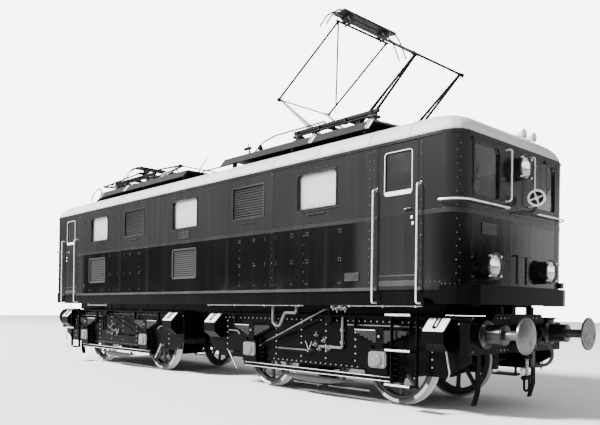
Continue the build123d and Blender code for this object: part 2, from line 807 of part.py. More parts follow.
def deck():
    """Raised walkway under one pantograph: planked top, sloping sides and a ramp."""
    low = DECK_TOP - DECK_EDGE_DROP
    wide = DECK_HALF + DECK_EDGE_OUT
    thin = DECK_PLATE
    section = outline(
        (-wide, low),
        (-DECK_HALF, DECK_TOP),
        (DECK_HALF, DECK_TOP),
        (wide, low),
        (wide - thin, low),
        (DECK_HALF - thin / 2, DECK_TOP - thin),
        (thin / 2 - DECK_HALF, DECK_TOP - thin),
        (thin - wide, low),
    )
    top = prism_x(section, DECK_INNER_X, DECK_OUTER_X)
    toe = DECK_OUTER_X + RAMP_LENGTH
    ramp = outline(
        (DECK_OUTER_X, DECK_TOP),
        (toe, DECK_TOP - RAMP_DROP),
        (toe, DECK_TOP - RAMP_DROP - thin),
        (DECK_OUTER_X, DECK_TOP - thin),
    )
    whole = top + prism_y(ramp, -DECK_HALF, DECK_HALF)
    legs = []
    for share in (0.06, 0.5, 0.94):
        x = DECK_INNER_X + share * (DECK_OUTER_X - DECK_INNER_X)
        for side in (-1, 1):
            y = sorted((side * (DECK_HALF - 110), side * (DECK_HALF - 40)))
            legs.append(block((x - 30, x + 30), y, (EAVE, DECK_TOP - thin)))
    return whole.fuse(*legs) - roof_solid()


def decks():
    """Both walkways, cut to stand on the roof skin."""
    front = deck()
    return [front, turned(front)]


# Insulator outline: height and radius as shares of the whole, with two wide sheds.
INSULATOR_ROWS = (
    (0.0, 0.52),
    (0.24, 0.52),
    (0.38, 0.8),
    (0.5, 0.5),
    (0.68, 1.0),
    (0.86, 0.5),
    (1.0, 0.5),
)


def insulator(x, y, bottom):
    """Ribbed porcelain post."""
    rows = [(h * INSULATOR_HEIGHT, r * INSULATOR_RADIUS) for h, r in INSULATOR_ROWS]
    return Pos(x, y, bottom) * lathe(rows, INSULATOR_SIDES)


def roof_insulators():
    """Four posts under each pantograph."""
    posts = []
    for centre in (-PANTO_X, PANTO_X):
        for along in (-INSULATOR_X, INSULATOR_X):
            for side in (-INSULATOR_Y, INSULATOR_Y):
                posts.append(insulator(centre + along, side, DECK_TOP))
    return posts


def pantograph_base():
    """Frame on the four insulators with the bearings of both lower arms."""
    bottom = DECK_TOP + INSULATOR_HEIGHT
    top = bottom + BASE_RAIL
    half = BASE_RAIL / 2
    pieces = []
    for side in (-1, 1):
        y = (side * INSULATOR_Y - half, side * INSULATOR_Y + half)
        pieces.append(block((-BASE_HALF_LENGTH, BASE_HALF_LENGTH), y, (bottom, top)))
    inner = (half - INSULATOR_Y, INSULATOR_Y - half)
    for x in (-0.5 * PIVOT_X, 0.5 * PIVOT_X):
        pieces.append(block((x - half, x + half), inner, (bottom, top)))
    for x in (-PIVOT_X, PIVOT_X):
        for side in (-1, 1):
            y = sorted((side * (INSULATOR_Y - half), side * (ARM_Y + 2 * ARM_SPREAD - 40)))
            plate = block((x - 45, x + 45), y, (PIVOT_Z - 45, top))
            hole = disc_y(PIVOT_PIN + SHAFT_CLEARANCE, x, (y[0] - 1, y[1] + 1), PIVOT_Z, bore)
            pieces.append(plate - hole)
    return Pos(PANTO_X, 0, 0) * fused(pieces)


def knee(angle):
    """X and Z of the knee for one angle of the lower arm."""
    turn = math.radians(angle)
    return PIVOT_X + LOWER_ARM * math.cos(turn), PIVOT_Z + LOWER_ARM * math.sin(turn)


def apex(angle):
    """X and Z of the top tube that closes the diamond at this angle."""
    knee_x, knee_z = knee(angle)
    run = knee_x - APEX_X
    return APEX_X, knee_z + math.sqrt(UPPER_ARM**2 - run**2)


def lower_arm(angle):
    """Outer lower arm: torque tube, two tapered twin-tube arms and the knee tube."""
    knee_x, knee_z = knee(angle)
    end = ARM_Y + ARM_SPREAD + 10
    pin = INSULATOR_Y - BASE_RAIL / 2 - 4
    bearing = ARM_Y + KNEE_BEARING
    pieces = [
        disc_y(TORQUE_TUBE, PIVOT_X, (-end, end), PIVOT_Z),
        disc_y(PIVOT_PIN, PIVOT_X, (-pin, pin), PIVOT_Z),
        disc_y(KNEE_TUBE, knee_x, (-ARM_Y - 20, ARM_Y + 20), knee_z),
        disc_y(KNEE_PIN, knee_x, (-bearing, bearing), knee_z),
    ]
    for side in (-1, 1):
        for edge in (-1, 1):
            foot = (PIVOT_X, side * (ARM_Y + edge * (ARM_SPREAD - 10)), PIVOT_Z)
            top = (knee_x, side * (ARM_Y + edge * 12), knee_z)
            pieces.append(rod(ARM_TUBE, foot, top))
        for share in (0.18, 0.42):
            x = PIVOT_X + share * (knee_x - PIVOT_X)
            z = PIVOT_Z + share * (knee_z - PIVOT_Z)
            reach = ARM_SPREAD * (1 - share)
            rung = (side * ARM_Y - reach, side * ARM_Y + reach)
            pieces.append(block((x - 8, x + 8), rung, (z - 8, z + 8)))
    return Pos(PANTO_X, 0, 0) * fused(pieces)


def upper_arm(angle):
    """Outer upper arm: knee bearings, two long tubes, a diagonal and the top tube."""
    knee_x, knee_z = knee(angle)
    top_x, top_z = apex(angle)
    far = ARM_Y + KNEE_BEARING
    near = far - KNEE_BEARING_WIDTH
    middle = (near + far) / 2
    foot_x = knee_x + BRACE_FOOT * (top_x - knee_x)
    foot_y = middle + BRACE_FOOT * (near - middle)
    foot_z = knee_z + BRACE_FOOT * (top_z - knee_z)
    pieces = [disc_y(APEX_TUBE, top_x, (-far, far), top_z)]
    for side in (-1, 1):
        y = sorted((side * near, side * far))
        pieces.append(disc_y(2 * ARM_TUBE, knee_x, y, knee_z))
        pieces.append(rod(UPPER_TUBE, (knee_x, side * middle, knee_z), (top_x, side * near, top_z)))
    pieces.append(rod(BRACE_TUBE, (foot_x, foot_y, foot_z), (top_x, -near, top_z)))
    hole = disc_y(KNEE_PIN + SHAFT_CLEARANCE, knee_x, (-far - 1, far + 1), knee_z, bore)
    return Pos(PANTO_X, 0, 0) * (fused(pieces) - hole)


def pantograph_head(angle):
    """Two collector pans on a carrier, with tips that turn down at both ends."""
    top_x, top_z = apex(angle)
    low = top_z + HEAD_RISE
    foot = APEX_X + APEX_TUBE + 12
    wide = PAN_WIDTH + PAN_GAP / 2
    pieces = []
    for side in (-1, 1):
        y = sorted((side * 430, side * 470))
        hanger = outline((-foot, top_z - 30), (foot, top_z - 30), (wide, low), (-wide, low))
        room = 2 * (APEX_TUBE + 8)
        slot = Pos(-APEX_X, top_z) * rounded(2 * OPEN_SLOT, room, 0.3 * room, 1)
        plate = prism_y(hanger - slot, *y)
        hole = disc_y(APEX_TUBE + SHAFT_CLEARANCE, top_x, (y[0] - 1, y[1] + 1), top_z, bore)
        pieces.append(plate - hole)
    for edge in (-1, 1):
        x = sorted((edge * PAN_GAP / 2, edge * (PAN_GAP / 2 + PAN_WIDTH)))
        pieces.append(block(x, (-PAN_HALF, PAN_HALF), (low, low + PAN_DEPTH)))
        middle = edge * (PAN_GAP + PAN_WIDTH) / 2
        z = low + PAN_DEPTH / 2
        for side in (-1, 1):
            tip = rod(
                TIP_TUBE,
                (middle, side * (PAN_HALF - 40), z),
                (middle, side * (PAN_HALF + 60), z),
                (middle, side * (PAN_HALF + 190), z - 0.28 * TIP_DROP),
                (middle, side * (PAN_HALF + TIP_REACH), z - TIP_DROP),
            )
            pieces.append(tip)
    return Pos(PANTO_X, 0, 0) * fused(pieces)


def horn(y):
    """Roof horn whose trumpet comes out of the slope of the roof."""
    rows = ((0, 26), (HORN_LENGTH - 60, 40), (HORN_LENGTH, HORN_MOUTH))
    start = BODY_END - HORN_BACK - HORN_LENGTH
    return Pos(start, y, HORN_Z) * Rot(0, 90, 0) * lathe(rows, 10) - roof_solid()


def roof_fittings():
    """Roof bar, cable between the pantographs, whistle, bell and the horns."""
    bar_y = -INSULATOR_Y
    rail_top = DECK_TOP + INSULATOR_HEIGHT + BASE_RAIL
    bar_z = rail_top + 40
    bar_end = PANTO_X - 210
    post_x = DECK_INNER_X + 600
    roof_bar = rod(
        13,
        (bar_end, bar_y, rail_top),
        (bar_end, bar_y, bar_z),
        (post_x + 590, bar_y, bar_z),
        (post_x + 240, bar_y, bar_z - 60),
        (post_x, bar_y, bar_z - 200),
        (post_x, bar_y, DECK_TOP),
    )
    cable_z = DECK_TOP + 30
    ends = DECK_INNER_X + 60
    cable = rod(
        13,
        (-ends, CABLE_Y, DECK_TOP),
        (-ends, CABLE_Y, cable_z),
        (ends, CABLE_Y, cable_z),
        (ends, CABLE_Y, DECK_TOP),
    )
    whistle_x = DECK_INNER_X + 435
    whistle_z = DECK_TOP + 190
    whistle = disc_z(16, whistle_x, bar_y, (DECK_TOP, whistle_z))
    whistle = whistle + disc_x(28, (whistle_x - 145, whistle_x + 45), bar_y, whistle_z)
    whistle = whistle + disc_z(12, whistle_x - 35, bar_y, (whistle_z, whistle_z + 90))
    bell_x = DECK_INNER_X + 760
    rows = ((0, 20), (110, 20), (125, 52), (165, 52), (200, 16))
    bell = Pos(bell_x, bar_y, DECK_TOP) * lathe(rows, 8)
    lever_x = -DECK_INNER_X - 80
    lever = rod(
        9,
        (lever_x, CABLE_Y - 60, DECK_TOP),
        (lever_x, CABLE_Y - 60, DECK_TOP + 60),
        (lever_x + 160, CABLE_Y - 60, DECK_TOP + 180),
        (lever_x + 290, CABLE_Y - 60, DECK_TOP + 280),
    )
    horns = []
    for y in HORN_YS:
        trumpet = horn(y)
        horns += [trumpet, turned(trumpet)]
    return [roof_bar, cable, whistle, bell, lever] + horns


def cab_fittings():
    """Bulkhead, driver's desks and seats of both cabs."""
    inner = BODY_HALF - WALL
    back = DOOR_X - DOOR_WIDTH / 2 - 190
    bulkhead = block((back - 50, back), (-inner, inner), (BODY_FLOOR, EAVE - ROOF_SKIN))
    front = BODY_END - WALL
    desk = block((front - 330, front), (DESK_INNER_Y, DESK_OUTER_Y), (BODY_FLOOR, DESK_TOP))
    table = block((front - 260, front), (-DESK_OUTER_Y, -DESK_INNER_Y), (BODY_FLOOR, TABLE_TOP))
    desk = desk + table
    pieces = [bulkhead, desk]
    seat_x = DOOR_X + 104
    for y in (-SEAT_Y, SEAT_Y):
        under = SEAT_TOP - CUSHION
        post = block((seat_x - 40, seat_x + 40), (y - 40, y + 40), (BODY_FLOOR, under))
        cushion = block((seat_x - 190, seat_x + 190), (y - 170, y + 170), (under, SEAT_TOP))
        rest = block((seat_x - 210, seat_x - 160), (y - 165, y + 165), (SEAT_TOP, BACKREST_TOP))
        pieces.append(post + cushion + rest)
    return pieces + [turned(piece) for piece in pieces]


def machine_block():
    """Resistances and contactor gear as one heavy block along the machine room."""
    half = BODY_END - GEAR_FROM_END
    return block((-half, half), (-GEAR_HALF, GEAR_HALF), (BODY_FLOOR, GEAR_TOP))


# Bogies, drawn about their own centre with the outer end towards +X


def frame_edge():
    """Points from the middle of the side frame's lower edge out to its end."""
    inside = HALF_WHEELBASE - HORN_HALF - CHEEK_WIDTH
    outside = HALF_WHEELBASE + HORN_HALF + CHEEK_WIDTH
    return [
        (inside - 60, FRAME_BOTTOM),
        (inside, CHEEK_BOTTOM),
        (outside, CHEEK_BOTTOM),
        (outside + 60, FRAME_BOTTOM),
        (FRAME_HALF - 380, FRAME_BOTTOM),
        (FRAME_HALF, FRAME_END_BOTTOM),
        (FRAME_HALF, FRAME_TOP),
    ]


def side_frame():
    """Right outside frame plate with its horn gaps, flanges, horn cheeks and tie bar."""
    near = FRAME_Y
    far = FRAME_Y + FRAME_PLATE
    half = FRAME_HALF
    edge = frame_edge()
    plate = prism_y(outline(*edge, *[(-x, z) for x, z in reversed(edge)]), near, far)
    reach = (near - FLANGE_REACH, far + FLANGE_REACH)
    flange = block((-half, half), reach, (FRAME_TOP - FLANGE_PLATE, FRAME_TOP))
    run = edge[0][0]
    sill_reach = (near, far + FLANGE_REACH - 20)
    sill = block((-run, run), sill_reach, (FRAME_BOTTOM, FRAME_BOTTOM + FLANGE_PLATE))
    pieces = [plate, flange, sill]
    gaps = []
    for axle in (-HALF_WHEELBASE, HALF_WHEELBASE):
        gap = (axle - HORN_HALF, axle + HORN_HALF)
        gaps.append(block(gap, (near - 1, far + 200), (CHEEK_BOTTOM + 80, HORN_TOP)))
        for start, stop in ((gap[0] - CHEEK_THICK, gap[0]), (gap[1], gap[1] + CHEEK_THICK)):
            pieces.append(block((start, stop), (far, far + CHEEK_PROUD), (CHEEK_BOTTOM, HORN_TOP)))
    tie = (far, far + CHEEK_PROUD + 8)
    pieces.append(block((-TIE_HALF, TIE_HALF), tie, (TIE_Z, TIE_Z + TIE_HEIGHT)))
    return fused(pieces).cut(*gaps)


def brake_rods():
    """Slanting brake rod, its level pull rod and the air pipe beside the right frame."""
    out = FRAME_Y + FRAME_PLATE
    stand = out + ROD_OUT
    top = FRAME_TOP - FLANGE_PLATE
    slant = rod(
        17,
        (ROD_LOW_X, out, ROD_LOW_Z),
        (ROD_LOW_X, stand, ROD_LOW_Z),
        (ROD_HIGH_X, stand, ROD_HIGH_Z),
        (ROD_HIGH_X, out, ROD_HIGH_Z),
    )
    pull = rod(
        14,
        (-PULL_HALF, out, PULL_Z),
        (-PULL_HALF, stand, PULL_Z),
        (0, stand, PULL_Z),
        (0, out, PULL_Z),
    )
    pipe = rod(
        20,
        (PIPE_X, out + 30, top),
        (PIPE_X, out + 30, PIPE_Z),
        (PIPE_X - 500, out + 30, PIPE_Z),
        (PIPE_X - 500, out, PIPE_Z),
    )
    valve = block((PIPE_X - 310, PIPE_X - 170), (out, out + 110), (top - 90, top))
    return [slant, pull, pipe, valve]


def sand_box(x):
    """Sand box with a lid that slopes down outwards."""
    near = FRAME_Y + FRAME_PLATE
    section = outline(
        (near, 1262),
        (near + 62, 1262),
        (near + 232, 1092),
        (near + 232, 930),
        (near + 90, 820),
        (near, 820),
    )
    return prism_x(section, x - SAND_HALF, x + SAND_HALF)


def steps():
    """Three treads between two stringers below the cab door."""
    low = STEP_HEIGHTS[0] - STEP_PLATE
    high = STEP_HEIGHTS[-1]
    limits = (STEP_X - STEP_WIDTH / 2, STEP_X + STEP_WIDTH / 2)
    pieces = []
    for x in limits:
        pieces.append(block((x - 9, x + 9), (STEP_INNER_Y, STEP_INNER_Y + 55), (low, high)))
        reach = sorted((FRAME_Y + FRAME_PLATE, STEP_INNER_Y))
        pieces.append(block((x - 9, x + 9), reach, (high - 130, high - 60)))
    inside = (limits[0] + 9, limits[1] - 9)
    for z in STEP_HEIGHTS:
        pieces.append(block(inside, (STEP_INNER_Y, STEP_OUTER_Y), (z - STEP_PLATE, z)))
    return fused(pieces)


def guard_iron():
    """Bar that hangs ahead of the outer wheel, close above the rail."""
    x = HEADSTOCK_FRONT - HEADSTOCK_THICK - 60
    side = outline(
        (x, HEADSTOCK_BOTTOM + 60),
        (x + 30, HEADSTOCK_BOTTOM + 60),
        (x + 30, 300),
        (x - 30, 95),
        (x - 60, 95),
        (x, 300),
    )
    reach = (715, 805)
    back = HEADSTOCK_FRONT - HEADSTOCK_THICK
    arm = block((x - 10, back), reach, (HEADSTOCK_BOTTOM + 20, HEADSTOCK_BOTTOM + 60))
    return prism_y(side, *reach) + arm


def headstock():
    """End beam that carries buffers and hook, with sloping shoulders and two short posts."""
    back = HEADSTOCK_FRONT - HEADSTOCK_THICK
    low = HEADSTOCK_TOP - SHOULDER_DROP
    half = HEADSTOCK_HALF
    shape = outline(
        (-half, HEADSTOCK_BOTTOM),
        (half, HEADSTOCK_BOTTOM),
        (half, low),
        (half - SHOULDER_LENGTH, low),
        (half - SHOULDER_LENGTH - SHOULDER_DROP, HEADSTOCK_TOP),
        (SHOULDER_LENGTH + SHOULDER_DROP - half, HEADSTOCK_TOP),
        (SHOULDER_LENGTH - half, low),
        (-half, low),
    )
    beam = prism_x(shape, back, HEADSTOCK_FRONT)
    posts = []
    for side in (-1, 1):
        y = (side * POST_Y - 35, side * POST_Y + 35)
        top = APRON_BOTTOM - 20
        posts.append(block((back + 20, HEADSTOCK_FRONT - 20), y, (HEADSTOCK_TOP, top)))
    return beam.fuse(*posts)


def bogie_frame():
    """Both side frames joined by headstock, transom and end beam, with what they carry."""
    one_side = [side_frame(), sand_box(SAND_OUTER_X), sand_box(SAND_INNER_X), steps(), guard_iron()]
    one_side += brake_rods()
    pieces = one_side + [across(piece) for piece in one_side] + [headstock()]
    tail = (-FRAME_HALF, END_BEAM - FRAME_HALF)
    pieces.append(block(tail, (-FRAME_Y, FRAME_Y), (FRAME_END_BOTTOM + 150, FRAME_TOP)))
    transom = (-TRANSOM_HALF, TRANSOM_HALF)
    pieces.append(block(transom, (-FRAME_Y, FRAME_Y), (TRANSOM_BOTTOM, FRAME_TOP)))
    bolster = BODY_FLOOR - FLOOR_PLATE - SOLE_DEPTH
    for side in (-1, 1):
        bearer = (FRAME_TOP - 1, bolster - SEAT)
        pieces.append(disc_z(BEARER_RADIUS, 0, side * BEARER_Y, bearer))
    hole = disc_z(CENTRE_PIN + PIN_CLEARANCE, 0, 0, (PIN_BOTTOM - 30, FRAME_TOP + 1), bore)
    return fused(pieces) - hole


def axlebox(x):
    """Axlebox with its square cover, round cap, leaf spring, buckle and hangers."""
    box = block((x - BOX_HALF, x + BOX_HALF), (BOX_INNER_Y, BOX_OUTER_Y), (BOX_BOTTOM, BOX_TOP))
    face = Pos(x, WHEEL_RADIUS + 50) * rounded(330, 236, 36, 1)
    cover = prism_y(face, BOX_OUTER_Y, BOX_OUTER_Y + COVER_THICK)
    cap = (BOX_OUTER_Y + COVER_THICK, BOX_OUTER_Y + COVER_THICK + 22)
    pieces = [box, cover, disc_y(90, x, cap, WHEEL_RADIUS + 40)]
    near = LEAF_Y - LEAF_WIDTH / 2
    far = LEAF_Y + LEAF_WIDTH / 2
    low = LEAF_Z - LEAF_COUNT * LEAF_THICK
    pack = outline(
        (x - LEAF_HALF, LEAF_Z),
        (x - LEAF_HALF, LEAF_Z - LEAF_THICK),
        (x - LEAF_FLAT, LEAF_Z - LEAF_THICK),
        (x - BUCKLE_HALF, low),
        (x + BUCKLE_HALF, low),
        (x + LEAF_FLAT, LEAF_Z - LEAF_THICK),
        (x + LEAF_HALF, LEAF_Z - LEAF_THICK),
        (x + LEAF_HALF, LEAF_Z),
    )
    pieces.append(prism_y(pack, near, far))
    buckle = (x - BUCKLE_HALF, x + BUCKLE_HALF)
    pieces.append(block(buckle, (near - 6, far + 8), (BOX_TOP, LEAF_Z + 22)))
    hanger = (LEAF_Z - 10, FRAME_TOP - FLANGE_PLATE)
    for edge in (-1, 1):
        link_x = x + edge * (LEAF_HALF - 30)
        pieces.append(block((link_x - 14, link_x + 14), (near + 24, far - 24), hanger))
    depth = (BOX_INNER_Y - 1, JOURNAL_END + 4)
    return fused(pieces) - disc_y(JOURNAL_RADIUS + SHAFT_CLEARANCE, x, depth, WHEEL_RADIUS, bore)


def axleboxes():
    """The four axleboxes and springs of one bogie."""
    boxes = [axlebox(-HALF_WHEELBASE), axlebox(HALF_WHEELBASE)]
    return boxes + [across(box) for box in boxes]


def buffer(side):
    """Side buffer: flared barrel, plunger and head. The -Y one is domed, the other flat."""
    rim = BUFFER_LENGTH - (26.0 if side < 0 else 0.0)
    rows = [
        (0, 190),
        (40, BUFFER_BARREL + 6),
        (BUFFER_BARREL_LENGTH, BUFFER_BARREL),
        (BUFFER_BARREL_LENGTH + 12, BUFFER_PLUNGER),
        (rim - 60, BUFFER_PLUNGER),
        (rim - 24, BUFFER_HEAD),
        (rim, BUFFER_HEAD),
    ]
    if side < 0:
        rows.append((BUFFER_LENGTH, 0.25 * BUFFER_HEAD))
    place = Pos(HEADSTOCK_FRONT, side * BUFFER_Y, BUFFER_Z) * Rot(0, 90, 0)
    return place * lathe(rows, BUFFER_SIDES)


# Screw coupling below the hook: half width, half depth, and heights below the hook.
COUPLING_LINKS = (
    (24, 10, 300),
    (20, 580, 790),
)
COUPLING_PINS = (
    (22, 30, 100),
    (34, 320, 115),
    (32, 600, 110),
)


def draw_hook():
    """Draw hook on its square plate with the screw coupling hanging from it."""
    start = HEADSTOCK_FRONT
    plate = block((start, start + 26), (-150, 150), (HOOK_Z - 130, HOOK_Z + 130))
    side = outline(
        (start + 26, HOOK_Z - 45),
        (start + 170, HOOK_Z - 45),
        (start + 225, HOOK_Z - 85),
        (start + 310, HOOK_Z - 60),
        (start + 345, HOOK_Z + 10),
        (start + 330, HOOK_Z + 85),
        (start + 285, HOOK_Z + 75),
        (start + 285, HOOK_Z + 10),
        (start + 240, HOOK_Z - 15),
        (start + 205, HOOK_Z + 45),
        (start + 26, HOOK_Z + 45),
    )
    pieces = [plate, prism_y(side, -32, 32)]
    link_x = start + 120
    for half, high, low in COUPLING_LINKS:
        for y in (-70, 70):
            reach = (link_x - half, link_x + half)
            pieces.append(block(reach, (y - 16, y + 16), (HOOK_Z - low, HOOK_Z - high)))
    for radius, drop, half in COUPLING_PINS:
        pieces.append(disc_y(radius, link_x, (-half, half), HOOK_Z - drop))
    pieces.append(disc_z(26, link_x, 0, (HOOK_Z - 620, HOOK_Z - 300)))
    return fused(pieces)


def hose_brackets():
    """Air tap on the headstock, and the strap below it that the hose's end rests on."""
    start = HEADSTOCK_FRONT
    y = (HOSE_Y - 34, HOSE_Y + 34)
    tap = block((start, start + HOSE_START), y, (HOSE_HIGH - 40, HOSE_HIGH + 40))
    rest = block((start - 40, start + HOSE_START), y, (HOSE_LOW - 36, HOSE_LOW + 36))
    strap = block((start - 40, start - 10), y, (HOSE_LOW - 36, HEADSTOCK_BOTTOM))
    return [tap, rest + strap]


def hose_route():
    """Points of the brake hose: forward from the tap and round in a loop to the rest."""
    start = HEADSTOCK_FRONT + HOSE_START
    bend = 0.293 * (HOSE_HIGH - HOSE_LOW)
    out = HEADSTOCK_FRONT + HOSE_REACH
    return [
        (start, HOSE_Y, HOSE_HIGH),
        (out - bend, HOSE_Y, HOSE_HIGH),
        (out, HOSE_Y, HOSE_HIGH - bend),
        (out, HOSE_Y, HOSE_LOW + bend),
        (out - bend, HOSE_Y, HOSE_LOW),
        (start, HOSE_Y, HOSE_LOW),
    ]


def brake_hose():
    """Brake hose, hung in a loop from its tap to its rest."""
    points = [Vector(*point) for point in hose_route()]
    radii = []
    for before, here, after in zip(points, points[1:], points[2:]):
        arrive = here - before
        leave = after - here
        turn = math.radians(arrive.get_angle(leave))
        radii.append(0.45 * min(arrive.length, leave.length) / math.tan(turn / 2))
    print("brake hose bend radii", [round(radius) for radius in radii])
    path = FilletPolyline(*points, radius=radii)
    section = Plane(origin=points[0], z_dir=points[1] - points[0]) * bar(HOSE_RADIUS)
    tube = sweep(section, path=path)
    share = tube.volume / (section.area * path.length)
    print("brake hose length", round(path.length), "volume share", round(share, 6))
    return tube


def drawgear():
    """Buffers, hook with screw coupling, and the hose's tap and rest, of one bogie."""
    return [buffer(-1), buffer(1), draw_hook()] + hose_brackets()


def brake_shoe(x, edge):
    """Shoe beside a wheel, with its hanger pin to the side frame."""
    inside = WHEEL_RADIUS + SHOE_GAP
    points = [(x + edge * (inside + SHOE_THICK), WHEEL_RADIUS + rise) for rise in (-150, 150)]
    for rise in (150, 0, -150):
        points.append((x + edge * math.sqrt(inside**2 - rise**2), WHEEL_RADIUS + rise))
    near = TYRE_INNER_Y + FLANGE_WIDTH + 14
    shoe = prism_y(outline(*points), near, TYRE_INNER_Y + TYRE_WIDTH - 6)
    pin_x = x + edge * (inside + SHOE_THICK / 2)
    return shoe + disc_y(24, pin_x, (near + 20, FRAME_Y), WHEEL_RADIUS)


def fish_beam():
    """Deep-bellied equalising beam hung below the side frame."""
    shape = outline((-860, 300), (860, 300), (420, 215), (120, 196), (-120, 196), (-420, 215))
    beam = prism_y(shape, FRAME_Y + 10, FRAME_Y + 50)
    links = []
    for x in (-640, 640):
        links.append(block((x - 26, x + 26), (FRAME_Y + 14, FRAME_Y + 46), (290, FRAME_BOTTOM)))
    return beam.fuse(*links)


def brakes():
    """A brake shoe on the outer side of each wheel, and the hung beams."""
    pieces = []
    for axle in (-1, 1):
        pieces.append(brake_shoe(axle * HALF_WHEELBASE, axle))
    pieces.append(fish_beam())
    return pieces + [across(piece) for piece in pieces]


def motor(end):
    """Axle-hung motor with its gear case, nose and suspension bearing."""
    x = end * MOTOR_X
    axle = end * HALF_WHEELBASE
    drum = disc_y(MOTOR_RADIUS, x, (-MOTOR_HALF, MOTOR_HALF), MOTOR_Z)
    nose = sorted((end * TRANSOM_HALF, end * (MOTOR_X - 200)))
    pieces = [drum, block(nose, (-180, 180), (TRANSOM_BOTTOM + 20, 960))]
    # Half height at the axle and at the motor, and the limits across.
    for tall, narrow, start, stop in ((320, 210, MOTOR_HALF, MOTOR_HALF + 120), (150, 150, -430, -280)):
        neck = outline(
            (x, MOTOR_Z - narrow),
            (axle, WHEEL_RADIUS - tall),
            (axle + end * 0.7 * tall, WHEEL_RADIUS - 0.7 * tall),
            (axle + end * tall, WHEEL_RADIUS),
            (axle + end * 0.7 * tall, WHEEL_RADIUS + 0.7 * tall),
            (axle, WHEEL_RADIUS + tall),
            (x, MOTOR_Z + narrow),
        )
        pieces.append(prism_y(neck, start, stop))
    length = (-MOTOR_HALF, MOTOR_HALF + 130)
    return fused(pieces) - disc_y(AXLE_RADIUS + SHAFT_CLEARANCE, axle, length, WHEEL_RADIUS, bore)


def motors():
    """Both traction motors of one bogie."""
    return [motor(-1), motor(1)]


# Wheel outline: how far in from the tyre's flanged face, and radius of the flats.
WHEEL_ROWS = (
    (0.0, WHEEL_RADIUS + FLANGE_DEPTH),
    (FLANGE_WIDTH, WHEEL_RADIUS),
    (TYRE_WIDTH, WHEEL_RADIUS - 3.0),
)


def wheel():
    """Spoked wheel with its tyre and flange, on the +Y side of the axle."""
    sections = []
    for depth, radius in WHEEL_ROWS:
        flats = RegularPolygon(radius, TYRE_SIDES, major_radius=False, rotation=180 / TYRE_SIDES)
        sections.append(Pos(0, 0, TYRE_INNER_Y + depth) * flats)
    turned_ring = Rot(-90, 0, 0) * loft(sections, ruled=True)
    outer = TYRE_INNER_Y + TYRE_WIDTH
    start = HUB_RADIUS + 20
    rim = WHEEL_RADIUS - TYRE_THICK - RIM_THICK
    windows = []
    for number in range(SPOKES):
        middle = math.radians(360 * (number + 0.5) / SPOKES)
        points = []
        for radius, side in ((start, -1), (rim, -1), (rim, 1), (start, 1)):
            spoke = math.asin(SPOKE_WIDTH / 2 / radius)
            turn = middle + side * (math.pi / SPOKES - spoke)
            points.append((radius * math.cos(turn), radius * math.sin(turn)))
        windows.append(prism_y(outline(*points), TYRE_INNER_Y - 1, outer + 1))
    dish = disc_y(rim + 4, 0, (TYRE_INNER_Y - 1, TYRE_INNER_Y + WEB_INSET), 0)
    return turned_ring.cut(dish, *windows)


def wheelset():
    """Axle with journals, hubs and two wheels, as one solid about its own centre."""
    outer = TYRE_INNER_Y + TYRE_WIDTH
    hub = outer + HUB_PROUD
    axle = disc_y(AXLE_RADIUS, 0, (-outer, outer), 0)
    hubs = disc_y(HUB_RADIUS, 0, (-hub, hub), 0) - disc_y(HUB_RADIUS + 1, 0, (-outer, outer), 0)
    journals = disc_y(JOURNAL_RADIUS, 0, (-JOURNAL_END, JOURNAL_END), 0)
    one = wheel()
    return fused([one, across(one), axle, journals] + list(hubs.solids()))


def write_body():
    """Save the pieces that belong to the body."""
    save("underframe", underframe())
    wall = side_wall()
    save("side_wall_near", wall)
    save("side_wall_far", turned(wall))
    front = end_wall()
    save("end_wall_front", front)
    save("end_wall_rear", turned(front))
    save("roof_shell", roof_shell())
    save("glazing", *glazing())
    save("window_blinds", *blinds())
    save("louvre_grilles", *louvres())
    save("body_mouldings", *mouldings())
    save("handrails", *handrails())
    save("lamps", *lamps())
    save("roof_walkways", *decks())
    save("roof_insulators", *roof_insulators())
    save("roof_fittings", *roof_fittings())
    save("cab_fittings", *cab_fittings())
    save("machine_block", machine_block())
    leaf = door()
    other = at_end(-1, leaf)
    save("door_front_near", *leaf)
    save("door_rear_far", *[turned(piece) for piece in leaf])
    save("door_rear_near", *other)
    save("door_front_far", *[turned(piece) for piece in other])


def write_pantographs():
    """Save both pantographs: the front one raised, the rear one folded."""
    base = pantograph_base()
    save("pantograph_bases", base, turned(base))
    # Name, angle of the lower arms, and whether it stands at the other end.
    rows = (
        ("front_pantograph", RAISED_ANGLE, False),
        ("rear_pantograph", FOLDED_ANGLE, True),
    )
    about = Plane(origin=(PANTO_X, 0, 0), z_dir=(1, 0, 0))
    for name, angle, turn in rows:
        place = turned if turn else (lambda shape: shape)
        fore_lower = lower_arm(angle)
        fore_upper = upper_arm(angle)
        save(f"{name}_lower_outer", place(fore_lower))
        save(f"{name}_lower_inner", place(mirror(fore_lower, about=about)))
        save(f"{name}_upper_outer", place(fore_upper))
        save(f"{name}_upper_inner", place(mirror(fore_upper, about=about)))
        save(f"{name}_head", place(pantograph_head(angle)))


